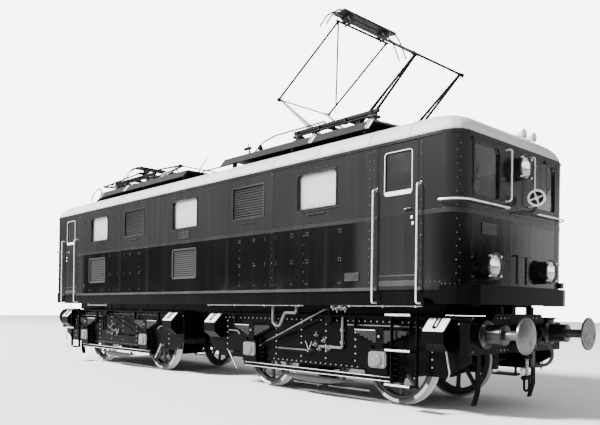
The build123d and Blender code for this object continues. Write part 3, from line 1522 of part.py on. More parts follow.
def write_bogies():
    """Save both bogies and the four wheelsets."""
    frame = bogie_frame()
    boxes = axleboxes()
    gear = drawgear()
    brake = brakes()
    drives = motors()
    hose = brake_hose()
    for name, end in (("front", 1), ("rear", -1)):
        turn = Rot(0, 0, 0 if end > 0 else 180) * Pos(BOGIE_X, 0, 0)
        save(f"{name}_bogie_frame", turn * frame)
        save(f"{name}_axleboxes", *[turn * piece for piece in boxes])
        save(f"{name}_drawgear", *[turn * piece for piece in gear])
        save(f"{name}_brake_hose", turn * hose)
        save(f"{name}_brakes", *[turn * piece for piece in brake])
        save(f"{name}_motors", *[turn * piece for piece in drives])
    pair = wheelset()
    number = 0
    for pivot in (-BOGIE_X, BOGIE_X):
        for axle in (-HALF_WHEELBASE, HALF_WHEELBASE):
            number += 1
            save(f"wheelset_{number}", Pos(pivot + axle, 0, WHEEL_RADIUS) * pair)


write_body()
write_pantographs()
write_bogies()
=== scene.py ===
# %% [markdown]
# # An electric locomotive with two pantographs
# The solid model brings the true size and every moving body. This lesson dresses it:
# first the camera and the hoses, then the light, the paints and metals, and then the
# smaller pieces such as rivets, rims, springs and lamps. The model is loaded before
# anything else, because every later piece takes its place from it.

# %% Load the solid model
import bmesh
import bpy
import math
import random
from mathutils import Matrix, Vector
from mathutils.bvhtree import BVHTree


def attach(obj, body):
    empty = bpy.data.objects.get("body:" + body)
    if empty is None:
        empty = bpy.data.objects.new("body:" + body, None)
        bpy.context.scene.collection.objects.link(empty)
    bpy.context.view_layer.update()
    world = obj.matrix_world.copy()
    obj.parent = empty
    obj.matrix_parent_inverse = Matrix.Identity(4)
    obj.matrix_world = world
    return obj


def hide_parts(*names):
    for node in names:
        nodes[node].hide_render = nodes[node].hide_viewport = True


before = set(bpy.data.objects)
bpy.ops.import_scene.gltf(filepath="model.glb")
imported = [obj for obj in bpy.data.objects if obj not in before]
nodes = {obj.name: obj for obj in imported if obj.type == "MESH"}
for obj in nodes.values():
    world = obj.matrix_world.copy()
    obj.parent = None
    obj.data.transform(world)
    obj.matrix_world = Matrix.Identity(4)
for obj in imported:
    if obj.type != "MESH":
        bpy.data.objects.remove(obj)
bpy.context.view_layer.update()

chance = random.Random(7)

# %% [markdown]
# ## Camera
# The picture was taken from eye height, level, with the lens raised instead of tilted,
# so upright edges stay upright. Blender does the same with a vertical shift. The place
# and the lens come from the known sizes of the buffers, windows and wheelbase.

# %% Camera
RAIL = 0.028
PHOTO_WIDTH = 600
EYE = Vector((10.63, -8.308, 1.371 + RAIL))
HEADING = 0.75115
ROLL = 0.01237
FOCAL_PIXELS = 641.0
HORIZON_BELOW_CENTRE = 95.98

right = Vector((math.sin(HEADING), math.cos(HEADING), 0))
back = Vector((math.cos(HEADING), -math.sin(HEADING), 0))
turn = Matrix((right, Vector((0, 0, 1)), back)).transposed().to_4x4()
lens = bpy.data.cameras.new("camera")
lens.sensor_width = 36
lens.lens = FOCAL_PIXELS / PHOTO_WIDTH * lens.sensor_width
lens.shift_y = HORIZON_BELOW_CENTRE / PHOTO_WIDTH
camera = bpy.data.objects.new("camera", lens)
camera.matrix_world = Matrix.Translation(EYE) @ turn @ Matrix.Rotation(ROLL, 4, "Z")
bpy.context.scene.collection.objects.link(camera)
bpy.context.scene.camera = camera
print("lens", round(lens.lens, 2), "mm, shift", round(lens.shift_y, 3))

# %% [markdown]
# ## Places
# Heights are written from the rail, as a drawing gives them, and lifted by the depth of
# the flange when a piece is made. Each bogie is drawn about its own centre with its
# outer end towards +X, and what is alike on both ends is turned half round.

# %% Places
TURNED = Matrix.Rotation(math.pi, 4, "Z")
ACROSS = Matrix.Scale(-1, 4, (0, 1, 0))
MIRROR_ENDS = Matrix.Scale(-1, 4, (1, 0, 0))
SIDE = (0, -1, 0)
FRONT = (1, 0, 0)
OUTWARD = (0, 1, 0)
BODY_HALF = 1.475
BODY_END = 6.15
BOGIE_X = 3.3
BOGIES = {
    "front": Matrix.Translation((BOGIE_X, 0, 0)),
    "rear": TURNED @ Matrix.Translation((BOGIE_X, 0, 0)),
}
LIFT = Matrix.Translation((0, 0, RAIL))


def at(x, y, z):
    return Matrix.Translation((x, y, z))


def facing(place, direction):
    """Frame at a place, with its own Z along a direction and its own Y upwards."""
    turned_to = Vector(direction).to_track_quat("Z", "Y").to_matrix().to_4x4()
    return Matrix.Translation(place) @ turned_to


def side_at(x, z, out=0.0):
    """Place on the near side of the body."""
    return facing((x, -BODY_HALF - out, z), SIDE)


def front_at(y, z, out=0.0):
    """Place on the flat front of the body."""
    return facing((BODY_END + out, y, z), FRONT)


def round_about(place, count, first=0.0):
    """Places turned evenly about one place's own Z, the first by some degrees."""
    angles = [math.radians(first + 360 * step / count) for step in range(count)]
    return [place @ Matrix.Rotation(angle, 4, "Z") for angle in angles]


def span(centre, half):
    """Both ends of a length about its centre."""
    return (centre - half, centre + half)


print("bogies", list(BOGIES))

# %% [markdown]
# ## Brake hoses
# A rubber hose leaves the air tap on each headstock, swings out in a loop and comes back
# to its rest. It is one smooth curve: a spline that needs only the few points of its
# route, and rounds them by itself.

# %% Brake hoses
HOSE_WIDTH = 0.048
HOSE_ROUTE = (
    (2.96, 0.45, 0.93),
    (3.068, 0.45, 0.93),
    (3.165, 0.45, 0.833),
    (3.165, 0.45, 0.697),
    (3.068, 0.45, 0.6),
    (2.96, 0.45, 0.6),
)


def hose(end, place):
    """Curve of one brake hose, before it has its rubber."""
    curve = bpy.data.curves.new(f"{end}_hose", "CURVE")
    curve.dimensions = "3D"
    curve.resolution_u = 16
    curve.bevel_depth = 1.0
    curve.bevel_resolution = 6
    curve.use_fill_caps = True
    line = curve.splines.new("NURBS")
    line.points.add(len(HOSE_ROUTE) - 1)
    for point, spot in zip(line.points, HOSE_ROUTE):
        point.co = (*(LIFT @ place @ Vector(spot)), 1)
        point.radius = HOSE_WIDTH / 2
    line.order_u = 3
    line.use_endpoint_u = True
    made = bpy.data.objects.new(f"{end}_hose", curve)
    bpy.context.scene.collection.objects.link(made)
    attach(made, f"{end}_bogie")
    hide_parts(f"{end}_brake_hose")
    return made, LIFT @ place @ Vector(HOSE_ROUTE[0]), line.calc_length()


hoses = {end: hose(end, place) for end, place in BOGIES.items()}
print("hoses", {end: round(length, 3) for end, (made, start, length) in hoses.items()})

# %% [markdown]
# ## Light
# The engine stands in the sun. A studio version of that light is one strong soft panel,
# high on the near side and behind the camera's left shoulder: it whitens the blinds and
# the rails, and leaves the front end in its own shade.

# %% World and lights
world = bpy.data.worlds.new("pale sky")
bpy.context.scene.world = world
world.use_nodes = True


def panel_light(name, place, aim, size, power):
    """Square soft light that looks from one point at another."""
    data = bpy.data.lights.new(name, "AREA")
    data.size = size
    data.energy = power
    lamp = bpy.data.objects.new(name, data)
    lamp.location = place
    lamp.rotation_euler = (Vector(aim) - Vector(place)).to_track_quat("-Z", "Y").to_euler()
    bpy.context.scene.collection.objects.link(lamp)


panel_light("sun panel", (-36, -68, 62), (0, 0, 2), 16, 432000)
print("lights", len(bpy.data.lights))

# %% [markdown]
# ## Writing materials as arithmetic
# A procedural material is a sum of small patterns. Wiring nodes by hand hides that sum,
# so one class wraps a socket and turns + - * into Math nodes, and another holds the
# material in the making and adds any other node through a single method.


# %% Shader arithmetic
class Field:
    """A socket that varies over the surface, with arithmetic."""

    def __init__(self, recipe, socket):
        self.recipe = recipe
        self.socket = socket

    def math(self, operation, *values):
        return self.recipe.node("ShaderNodeMath", {"operation": operation}, dict(enumerate(values)))

    def __add__(self, other):
        return self.math("ADD", self, other)

    def __sub__(self, other):
        return self.math("SUBTRACT", self, other)

    def __rsub__(self, other):
        return self.math("SUBTRACT", other, self)

    def __mul__(self, other):
        return self.math("MULTIPLY", self, other)

    def __abs__(self):
        return self.math("ABSOLUTE", self)

    __radd__ = __add__
    __rmul__ = __mul__

    def ramp(self, low, high):
        """0 at low, 1 at high, smooth between them and flat beyond."""
        settings = {"interpolation_type": "SMOOTHSTEP"}
        return self.recipe.node("ShaderNodeMapRange", settings, {0: self, 1: low, 2: high})

    def band(self, low, high, soft=0.002):
        """1 between low and high, 0 outside."""
        return self.ramp(low - soft, low + soft) * (1 - self.ramp(high - soft, high + soft))

    def most(self, other):
        return self.math("MAXIMUM", self, other)

    def least(self, other):
        return self.math("MINIMUM", self, other)


class Recipe:
    """One material, or the world, in the making."""

    def __init__(self, owner, place="Object"):
        self.owner = owner
        self.owner.use_nodes = True
        self.tree = self.owner.node_tree
        self.tree.nodes.clear()
        self.place = self.node("ShaderNodeTexCoord", output=place)
        self.x, self.y, self.z = (
            self.node("ShaderNodeSeparateXYZ", {}, {0: self.place}, output=axis) for axis in "XYZ"
        )

    def node(self, kind, settings=None, sockets=None, output=0):
        made = self.tree.nodes.new(kind)
        for key, value in (settings or {}).items():
            setattr(made, key, value)
        for key, value in (sockets or {}).items():
            if isinstance(value, Field):
                self.tree.links.new(value.socket, made.inputs[key])
            else:
                made.inputs[key].default_value = value
        return Field(self, made.outputs[output]) if made.outputs else None

    def stretched(self, stretch):
        settings = {"operation": "MULTIPLY"}
        return self.node("ShaderNodeVectorMath", settings, {0: self.place, 1: stretch})

    def noise(self, scale, detail=3.0, rough=0.55, stretch=(1, 1, 1)):
        """Soft cloud pattern from 0 to 1, about 0.5 on average."""
        sockets = {"Vector": self.stretched(stretch), "Scale": scale, "Detail": detail}
        sockets["Roughness"] = rough
        return self.node("ShaderNodeTexNoise", {}, sockets)

    def blend(self, first, second, mask):
        """Colour between two colours."""
        sockets = {0: mask, 6: first, 7: second}
        return self.node("ShaderNodeMix", {"data_type": "RGBA"}, sockets, output=2)

    def rounded(self, radius):
        """Surface normal with its edges softened."""
        return self.node("ShaderNodeBevel", {"samples": 4}, {"Radius": radius})

    def edge(self, radius=0.012):
        """1 on sharp edges, 0 on flat faces."""
        face = self.node("ShaderNodeNewGeometry", output="Normal")
        settings = {"operation": "DOT_PRODUCT"}
        same = self.node("ShaderNodeVectorMath", settings, {0: self.rounded(radius), 1: face}, "Value")
        return (1 - same).ramp(0.01, 0.16)

    def relief(self, height, depth, radius=None):
        """Normal bent by a height pattern, depth in metres."""
        sockets = {"Height": height, "Distance": depth, "Strength": 1.0}
        if radius:
            sockets["Normal"] = self.rounded(radius)
        return self.node("ShaderNodeBump", {}, sockets)

    def shader(self, colour, roughness, normal=None, **fixed):
        """Main shader, with evenly set values given by name."""
        sockets = {"Base Color": colour, "Roughness": roughness}
        if normal:
            sockets["Normal"] = normal
        for key, value in fixed.items():
            sockets[key.replace("_", " ").title().replace("Ior", "IOR")] = value
        return self.node("ShaderNodeBsdfPrincipled", {}, sockets)

    def done(self, surface, kind="ShaderNodeOutputMaterial"):
        self.node(kind, {}, {"Surface": surface})
        return self.owner


def grey(level, warmth=0.0):
    """Neutral colour of one brightness, a little warm or cool."""
    return (level * (1 + warmth), level, level * (1 - warmth), 1)


print("shader arithmetic ready")

# %% [markdown]
# ## Sky as a recipe
# Glossy paint shows whatever it mirrors, so the world needs more than one tone. The
# same arithmetic makes it: bright above, dark near the horizon as trees and sheds make
# it, a lighter yard towards the rear of the near side, and a pale wall ahead of the
# engine, which shows in the far half of its front. Rays that go straight from the
# camera see an even pale backdrop instead.

# %% Sky
HORIZON_DARK = 0.03
SKY_BRIGHT = 0.8
WALL_TONE = 1.6
BACKDROP = 7.0
sky = Recipe(world, "Generated")
mirrored = sky.blend(grey(HORIZON_DARK), grey(SKY_BRIGHT * 0.6), sky.z.ramp(0.085, 0.14))
mirrored = sky.blend(mirrored, grey(SKY_BRIGHT), sky.z.ramp(0.25, 0.55))
heading = sky.node("ShaderNodeMath", {"operation": "ARCTAN2"}, {0: sky.y, 1: sky.x})
yard = heading.band(-2.3, -1.85, 0.04) * sky.z.band(-0.02, 0.14, 0.02)
mirrored = sky.blend(mirrored, grey(SKY_BRIGHT * 0.4), yard)
pale_wall = heading.band(1.08, 2.0, 0.012) * sky.z.band(-0.01, 0.17, 0.01)
mirrored = sky.blend(mirrored, grey(WALL_TONE), pale_wall)
seen = sky.node("ShaderNodeLightPath", output="Is Camera Ray")
tone = sky.blend(mirrored, grey(BACKDROP), seen)
glow = sky.node("ShaderNodeBackground", {}, {"Color": tone, "Strength": 1.0})
sky.done(glow, "ShaderNodeOutputWorld")
print("sky tones", HORIZON_DARK, SKY_BRIGHT)

# %% [markdown]
# ## Paint
# Old locomotive enamel is never one tone. Large faint patches come from fading, thin
# upright streaks from rain, a dusty film from the rails settles low down, and edges
# that hands and boots meet are rubbed. One recipe with a few numbers covers the body,
# the roof, the frames and the lamps.


def named(name):
    """New recipe for a material."""
    made = Recipe(bpy.data.materials.new(name))
    return made


def enamel(
    made, tone, fade, gloss, rub=0.0, streak=0.5, dust=0.0, dust_top=1.6, warmth=0.0, edge=0.004
):
    """Colour, roughness and normal of enamel on sheet metal."""
    patch = made.noise(0.9, 4.0).ramp(0.32, 0.72)
    grain = made.noise(38.0, 3.0)
    rain = made.noise(1.0, 4.0, 0.6, (7.0, 7.0, 0.35)).ramp(0.45, 0.75)
    aged = (patch * (1 - streak) + rain * streak) * 0.8 + grain * 0.2
    colour = made.blend(grey(tone, warmth), grey(fade, warmth), aged)
    rough = gloss[0] + (gloss[1] - gloss[0]) * aged
    if dust:
        film = (1 - made.z.ramp(0.1, dust_top)) * made.noise(3.2, 5.0, 0.65).ramp(0.3, 0.75) * dust
        colour = made.blend(colour, grey(0.03, 0.14), film)
        rough = (rough + film * 0.5).least(1.0)
    if rub:
        worn = made.edge() * made.noise(22.0, 4.0).ramp(0.42, 0.62) * rub
        colour = made.blend(colour, grey(0.1, 0.03), worn)
    normal = made.relief(grain + rain * 0.6, 0.0005, edge)
    return colour, rough, normal


def painted(name, slot, *numbers, shine=0.35, **more):
    """One even enamel."""
    made = named(name)
    return made.done(made.shader(*enamel(made, *numbers, **more), specular_ior_level=shine))


BELT = 2.637 + RAIL
# The ends, the sides and the rounded corners share one enamel in three tones. The sunlit sides are lighter,
# the shaded ends darker and the corners between them. This is painted light and shade.
SHADED_END_TONES = ((0.006, 0.0095), (0.002, 0.0045))
SUNLIT_SIDE_TONES = ((0.012, 0.018), (0.0024, 0.0058))
HALF_LIT_CORNER_TONES = ((0.009, 0.013), (0.0022, 0.0045))
SIDE_SHINE = 0.15


def body_coats(made, tones):
    """Two coats: dull above the belt, dark gloss below, and painted reflection on the lower cab panels."""
    upper, upper_rough, normal = enamel(made, *tones[0], (0.18, 0.28), streak=0.7)
    lower, lower_rough, _ = enamel(made, *tones[1], (0.06, 0.14), streak=0.6)
    dust = (1 - made.z.ramp(1.6, 2.1)) * made.noise(2.4, 5.0, 0.65).ramp(0.4, 0.8)
    lower = made.blend(lower, grey(0.01, 0.1), dust * 0.35)
    # The lower cab panels take most of the upper coat: a painted reflection.
    cab_reflection = abs(made.x).ramp(4.35, 4.6) * (1 - abs(made.x).ramp(5.7, 6.0))
    cab_reflection = cab_reflection * made.z.ramp(1.62, 1.72)
    above = made.z.ramp(BELT - 0.004, BELT + 0.004).most(cab_reflection * 0.8)
    colour = made.blend(lower, upper, above)
    rough = lower_rough + (upper_rough - lower_rough) * above + dust * 0.15 * (1 - above)
    return colour, rough, normal


def body_enamel(name, tones, shine):
    made = named(name)
    return made.done(made.shader(*body_coats(made, tones), specular_ior_level=shine))


shaded_end_paint = body_enamel("shaded end enamel", SHADED_END_TONES, 0.5)
sunlit_side_paint = body_enamel("sunlit side enamel", SUNLIT_SIDE_TONES, SIDE_SHINE)
half_lit_corner_paint = body_enamel("half-lit corner enamel", HALF_LIT_CORNER_TONES, 0.28)
# Lighter than the body's sheets: on the rivet heads this is a painted highlight, and the cast plates wear
# it too.
strip_paint = painted("strip paint", "dark_paint", 0.012, 0.028, (0.2, 0.4), rub=0.4)
ledge_paint = painted("ledge paint", "dark_paint", 0.012, 0.028, (0.3, 0.5), rub=0.5)
black_paint = painted("black paint", "black_iron", 0.003, 0.007, (0.3, 0.5), rub=0.3, dust=0.1, shine=0.2)
roof_paint = painted(
    "roof paint", "roof_paint", 0.42, 0.58, (0.45, 0.7), streak=0.3, warmth=0.01, edge=0.08
)
deck_paint = painted("walkway paint", "deck_paint", 0.006, 0.018, (0.6, 0.8), rub=0.4, shine=0.2)
sole_paint = painted("sole bar paint", "dark_paint", 0.001, 0.0026, (0.25, 0.4), dust=0.04, shine=0.04)
frame_paint = painted(
    "frame paint", "black_iron", 0.0008, 0.0022, (0.25, 0.4), rub=0.15, dust=0.03, shine=0.03
)
grey_paint = painted("grey enamel", "black_iron", 0.03, 0.08, (0.35, 0.6), rub=0.4, dust=0.3)
white_paint = painted("white enamel", "bright_rail", 0.62, 0.8, (0.35, 0.6), rub=0.3)
lamp_paint = painted("lamp paint", "grey_paint", 0.006, 0.016, (0.2, 0.4), rub=0.5)
cab_paint = painted("cab paint", "cab_paint", 0.2, 0.3, (0.4, 0.6))
arm_paint = painted("arm paint", "arm_steel", 0.003, 0.009, (0.4, 0.6), rub=0.2, edge=0.012, shine=0.05)
# A pale copy of the arm paint, for the lower inner arms whose upper side faces the light: painted sunlight.
sunlit_arm_paint = painted("sunlit arm paint", "arm_steel", 0.2, 0.34, (0.4, 0.6), rub=0.2, edge=0.012)
base_paint = painted("base paint", "rod_steel", 0.002, 0.008, (0.45, 0.7), rub=0.3, edge=0.01, shine=0.1)
leaf_paint = painted("spring leaf", "black_iron", 0.006, 0.014, (0.35, 0.6), rub=0.4, dust=0.1, shine=0.15)
buffer_paint = painted("buffer enamel", "black_iron", 0.004, 0.012, (0.22, 0.45), rub=0.6, dust=0.25)
# Far lighter than the black frame, for the bogie's rivet heads: painted highlights.
rivet_highlight_paint = painted("rivet highlight paint", "black_iron", 0.16, 0.34, (0.3, 0.5), rub=0.3)
cover_paint = painted("cover paint", "black_iron", 0.08, 0.16, (0.35, 0.6), rub=0.5, dust=0.2)
rod_paint = painted("rod paint", "rod_steel", 0.06, 0.16, (0.3, 0.5), rub=0.4)
brake_paint = painted(
    "brake paint", "black_iron", 0.01, 0.04, (0.45, 0.7), rub=0.4, dust=0.5, dust_top=0.9
)

# %% [markdown]
# ## Bare metal
# Rails that hands polish stay bright between darker, duller patches. Fine scratches
# run along them, so the noise is stretched, and the metal turns rougher where it is
# stained.


# %% Bare metal
def bare(name, tone, stain, gloss, metallic=1.0):
    """Worn bright steel with stains."""
    made = named(name)
    stains = made.noise(9.0, 5.0, 0.6).ramp(0.45, 0.7)
    scratch = made.noise(60.0, 2.0, 0.5, (1.0, 1.0, 0.1))
    colour = made.blend(grey(tone, 0.01), grey(stain, 0.06), stains)
    rough = gloss[0] + (gloss[1] - gloss[0]) * stains + scratch * 0.08
    normal = made.relief(scratch, 0.0003, 0.002)
    return made.done(made.shader(colour, rough, normal, metallic=metallic))


rail_steel = bare("rail steel", 0.8, 0.55, (0.28, 0.5), 0.6)
strip_metal = bare("collector strip", 0.014, 0.006, (0.5, 0.7), 0.4)
bolt_steel = bare("bolt steel", 0.4, 0.2, (0.35, 0.55))
head_steel = bare("buffer steel", 0.1, 0.05, (0.22, 0.45), 0.7)
mirror_metal = bare("reflector", 0.9, 0.8, (0.08, 0.2))
print("metals", 5)

# %% [markdown]
# ## Rubber, porcelain and white cloth
# These are dull or glassy without any metal. Rubber keeps grey dust, porcelain has a
# hard glaze under soot, and cotton scatters light and shows its weave only up close.
# The windows are clear glass under a thin film of dirt.


# %% Rubber, porcelain and cloth
def hose_rubber():
    made = named("hose rubber")
    cracks = made.noise(55.0, 4.0, 0.7)
    dust = made.noise(7.0, 4.0).ramp(0.35, 0.7)
    colour = made.blend(grey(0.02), grey(0.09, 0.05), dust)
    return made.done(made.shader(colour, 0.6 + 0.25 * dust, made.relief(cracks, 0.0012)))


def porcelain():
    made = named("brown porcelain")
    soot = made.noise(12.0, 4.0).ramp(0.4, 0.75)
    colour = made.blend(grey(0.03, 0.02), grey(0.1, 0.02), soot)
    return made.done(made.shader(colour, 0.2 + 0.35 * soot, made.relief(soot, 0.0005), coat_weight=0.5))


def cotton():
    made = named("white cotton")
    warp = made.noise(900.0, 1.0, 0.4, (1.0, 1.0, 0.25)) * 0.5
    weave = warp + made.noise(900.0, 1.0, 0.4, (0.25, 1.0, 1.0)) * 0.5
    crease = made.noise(6.0, 3.0, 0.5, (2.0, 1.0, 0.4))
    # The cloth is darker where the crease pattern sinks: painted shade in the creases.
    colour = made.blend(grey(0.94), grey(0.985), crease.ramp(0.3, 0.7))
    normal = made.relief(weave * 0.3 + crease, 0.002)
    return made.done(made.shader(colour, 0.9, normal, sheen_weight=0.3))


def window_glass():
    made = named("window glass")
    dirt = made.noise(5.0, 4.0).ramp(0.45, 0.85) * 0.07 + 0.01
    clear = made.shader(grey(1.0), 0.04, transmission_weight=1.0, ior=1.45)
    film = made.shader(grey(0.45, 0.05), 0.6)
    return made.done(made.node("ShaderNodeMixShader", {}, {0: dirt, 1: clear, 2: film}))


rubber = hose_rubber()
ceramic = porcelain()
blind_cloth = cotton()
glass = window_glass()
print("rubber, porcelain, cotton and glass ready")

# %% [markdown]
# ## Cab doors
# A door is one solid with its pane, so one material covers both: paint everywhere, and
# dim glass inside the rectangle of the window. The mask comes from the place on the
# door, and only the factor between two shaders changes.

# %% Door material
DOOR_X = 5.216
DOOR_WINDOW = (0.24, 2.91, 3.51)


def door_enamel():
    made = named("door enamel")
    paint = made.shader(*body_coats(made, SUNLIT_SIDE_TONES), specular_ior_level=SIDE_SHINE)
    haze = made.noise(3.0, 3.0).ramp(0.3, 0.8)
    pane = made.shader(made.blend(grey(0.01), grey(0.016), haze), 0.12 + 0.1 * haze)
    half, low, high = DOOR_WINDOW
    across = (abs(made.x) - DOOR_X).band(0.001 - half, half - 0.001, 0.0005)
    upward = made.z.band(low + RAIL + 0.001, high + RAIL - 0.001, 0.0005)
    return made.done(made.node("ShaderNodeMixShader", {}, {0: across * upward, 1: paint, 2: pane}))


door_paint = door_enamel()
print("door window", DOOR_WINDOW)

# %% [markdown]
# ## Shapes in mesh code
# Most small pieces are turned, extruded or bent from rod. One class gathers the points
# and faces of many such parts, so a whole row of rivets becomes a single piece. Blender
# then softens the edges with a bevel and shades what is round smoothly.


# %% Stock of points and faces
def ring_faces(rows, sides, closed=False):
    """Quads between rings of points; a closed band joins its last ring to its first."""
    faces = []
    for row in range(rows if closed else rows - 1):
        upper = (row + 1) % rows
        for side in range(sides):
            after = (side + 1) % sides
            low, high = row * sides, upper * sides
            faces.append((low + side, low + after, high + after, high + side))
    return faces


def turned_points(rows, sides):
    """Rings of points about Z, from rows of height and radius."""
    turns = [math.tau * side / sides for side in range(sides)]
    circle = [(math.cos(angle), math.sin(angle)) for angle in turns]
    return [(radius * x, radius * y, height) for height, radius in rows for x, y in circle]


class Stock:
    """Points and faces gathered for one piece, with heights from the rail."""

    def __init__(self):
        self.points = []
        self.faces = []

    def add(self, points, faces, place=Matrix()):
        first = len(self.points)
        self.points += [place @ Vector(point) for point in points]
        self.faces += [[first + corner for corner in face] for face in faces]
        return self

    def repeat(self, *places):
        """Copies of everything so far, each through one more place."""
        points, faces = list(self.points), list(self.faces)
        for place in places:
            self.add(points, faces, place)
        return self

    def lathe(self, place, rows, sides=32, caps=(True, True)):
        """Turned shape about its own Z: rows of height and radius."""
        points = turned_points(rows, sides)
        faces = ring_faces(len(rows), sides)
        if caps[0]:
            faces.append(tuple(range(sides))[::-1])
        if caps[1]:
            faces.append(tuple(range(len(points) - sides, len(points))))
        return self.add(points, faces, place)

    def hoop(self, place, rows, sides=48):
        """Turned ring: its outline, rows of height and radius, closes on itself."""
        return self.add(turned_points(rows, sides), ring_faces(len(rows), sides, True), place)

    def prism(self, place, outline, depth):
        """Outline in its own X and Y, anticlockwise, carried up its own Z."""
        count = len(outline)
        points = [(x, y, 0) for x, y in outline] + [(x, y, depth) for x, y in outline]
        faces = ring_faces(2, count) + [tuple(range(count))[::-1], tuple(range(count, 2 * count))]
        return self.add(points, faces, place)

    def slab(self, x, y, z):
        """Straight bar or plate between two values along each axis."""
        outline = ((x[0], y[0]), (x[1], y[0]), (x[1], y[1]), (x[0], y[1]))
        return self.prism(at(0, 0, z[0]), outline, z[1] - z[0])

    def on_side(self, x, out, z):
        """Bar that stands out from the near side of the body."""
        return self.slab(x, (-BODY_HALF - out, -BODY_HALF), z)

    def rim(self, place, outer, inner, depth):
        """Flat frame between two outlines with as many points."""
        count = len(outer)
        points = [(x, y, 0) for x, y in outer] + [(x, y, depth) for x, y in outer]
        points += [(x, y, depth) for x, y in inner] + [(x, y, 0) for x, y in inner]
        return self.add(points, ring_faces(4, count, True), place)

    def tube(self, path, radius, sides=10, place=Matrix()):
        """Round rod along points."""
        path = [Vector(point) for point in path]
        points = []
        side = None
        for number, here in enumerate(path):
            before = path[max(number - 1, 0)]
            after = path[min(number + 1, len(path) - 1)]
            along = (after - before).normalized()
            if side is None:
                side = along.orthogonal().normalized()
            side = (side - along * side.dot(along)).normalized()
            other = along.cross(side)
            for corner in range(sides):
                angle = math.tau * corner / sides
                points.append(here + radius * (math.cos(angle) * side + math.sin(angle) * other))
        faces = ring_faces(len(path), sides)
        faces += [tuple(range(sides))[::-1], tuple(range(len(points) - sides, len(points)))]
        return self.add(points, faces, place)

    def crossbar(self, x, y, z, radius, sides=16):
        """Round bar across the engine, between two values of y."""
        return self.tube(((x, y[0], z), (x, y[1], z)), radius, sides)

    def longbar(self, x, y, z, radius, sides=12):
        """Round bar along the engine, between two values of x."""
        return self.tube(((x[0], y, z), (x[1], y, z)), radius, sides)

    def rod(self, corners, bend, radius, sides=14, steps=5):
        """Round rod along points, with its corners rounded."""
        return self.tube(bent(corners, bend, steps), radius, sides)

    def rivet(self, place, radius=0.0105):
        """Round head, flat below."""
        rows = ((0, radius), (0.45 * radius, 0.82 * radius), (0.68 * radius, 0.36 * radius))
        return self.lathe(place, rows, 6, (False, True))

    def bolt(self, place, radius):
        """Six-sided nut with its thread end."""
        self.lathe(place, ((0, radius), (0.8 * radius, radius), (0.9 * radius, 0.85 * radius)), 6)
        return self.lathe(place, ((0.8 * radius, 0.5 * radius), (1.5 * radius, 0.45 * radius)), 8)


def bent(points, radius, steps=5):
    """Path with its corners rounded."""
    points = [Vector(point) for point in points]
    path = [points[0]]
    for before, here, after in zip(points, points[1:], points[2:]):
        start = here + (before - here).normalized() * min(radius, (before - here).length / 2)
        stop = here + (after - here).normalized() * min(radius, (after - here).length / 2)
        for step in range(steps + 1):
            share = step / steps
            path.append(start.lerp(here, share).lerp(here.lerp(stop, share), share))
    return path + [points[-1]]


def upright(y, *corners):
    """Points in one upright plane along the engine, from pairs of x and z."""
    return [(x, y, z) for x, z in corners]


def rounded(width, height, radius, steps=4):
    """Anticlockwise outline of a rectangle with round corners."""
    outline = []
    for quarter, (across, up) in enumerate(((1, 1), (-1, 1), (-1, -1), (1, -1))):
        centre = (across * (width / 2 - radius), up * (height / 2 - radius))
        for step in range(steps + 1):
            angle = (quarter + step / steps) * math.pi / 2
            outline.append((centre[0] + radius * math.cos(angle), centre[1] + radius * math.sin(angle)))
    return outline


def piece(name, stock, body, material, replaces=(), bevel=0.0, place=Matrix(), crease=35):
    """Mesh object made of a stock, dressed, and riding on a body."""
    mesh = bpy.data.meshes.new(name)
    lifted = LIFT @ place
    mesh.from_pydata([lifted @ point for point in stock.points], [], stock.faces)
    form = bmesh.new()
    form.from_mesh(mesh)
    bmesh.ops.recalc_face_normals(form, faces=form.faces)
    form.to_mesh(mesh)
    form.free()
    mesh.shade_smooth()
    mesh.set_sharp_from_angle(angle=math.radians(crease))
    mesh.materials.append(material)
    made = bpy.data.objects.new(name, mesh)
    bpy.context.scene.collection.objects.link(made)
    if bevel:
        soft = made.modifiers.new("soft edges", "BEVEL")
        soft.width = bevel
        soft.segments = 2
        soft.limit_method = "ANGLE"
        soft.angle_limit = math.radians(40)
    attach(made, body)
    if replaces:
        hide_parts(*replaces)
    print(name, len(mesh.polygons), "faces")
    return made


def fit_body(name, stock, material, bevel=0.0, replaces=(), crease=35):
    """Piece of the body, made for one side and turned half round for the other."""
    piece(name, stock.repeat(TURNED), "body", material, replaces, bevel, crease=crease)


def fit_bogies(*rows):
    """Pieces of both bogies: name, stock, material, bevel and the node each one replaces."""
    for end, place in BOGIES.items():
        for name, stock, material, bevel, node in rows:
            replaced = [f"{end}_{node}"] if node else ()
            piece(f"{end}_{name}", stock, f"{end}_bogie", material, replaced, bevel, place)


print("stock ready")

# %% [markdown]
# ## The solid nodes
# Most of the solid model keeps its own shape and only gets a better skin. The mouldings
# are one node with three tones by height: darkest above 3.1 m, a lighter grey below
# 3.0 m, and palest, in patches, on the lowest ledge. The lower louvres are paler than
# the upper ones. Height decides both.


# %% Mouldings and louvres
def moulding_enamel():
    made = named("moulding enamel")
    colour, rough, normal = enamel(made, 0.003, 0.007, (0.2, 0.35), rub=0.3)
    colour = made.blend(grey(0.012), colour, made.z.ramp(3.0, 3.1))
    pale = made.noise(5.0, 4.0, 0.6, (0.3, 1.0, 1.0)).ramp(0.3, 0.6)
    ledge = (1 - made.z.ramp(1.74, 1.76)) * (0.5 + 0.5 * pale)
    return made.done(made.shader(made.blend(colour, grey(0.026), ledge), rough, normal))


def louvre_enamel():
    made = named("louvre enamel")
    colour, rough, normal = enamel(made, 0.003, 0.006, (0.3, 0.45), rub=0.25)
    low = 1 - made.z.ramp(2.6, 2.7)
    colour = made.blend(colour, grey(0.024), low * 0.8)
    return made.done(made.shader(colour, rough, normal))


moulding_paint = moulding_enamel()
slat_paint = louvre_enamel()
print("mouldings and louvres", BELT)

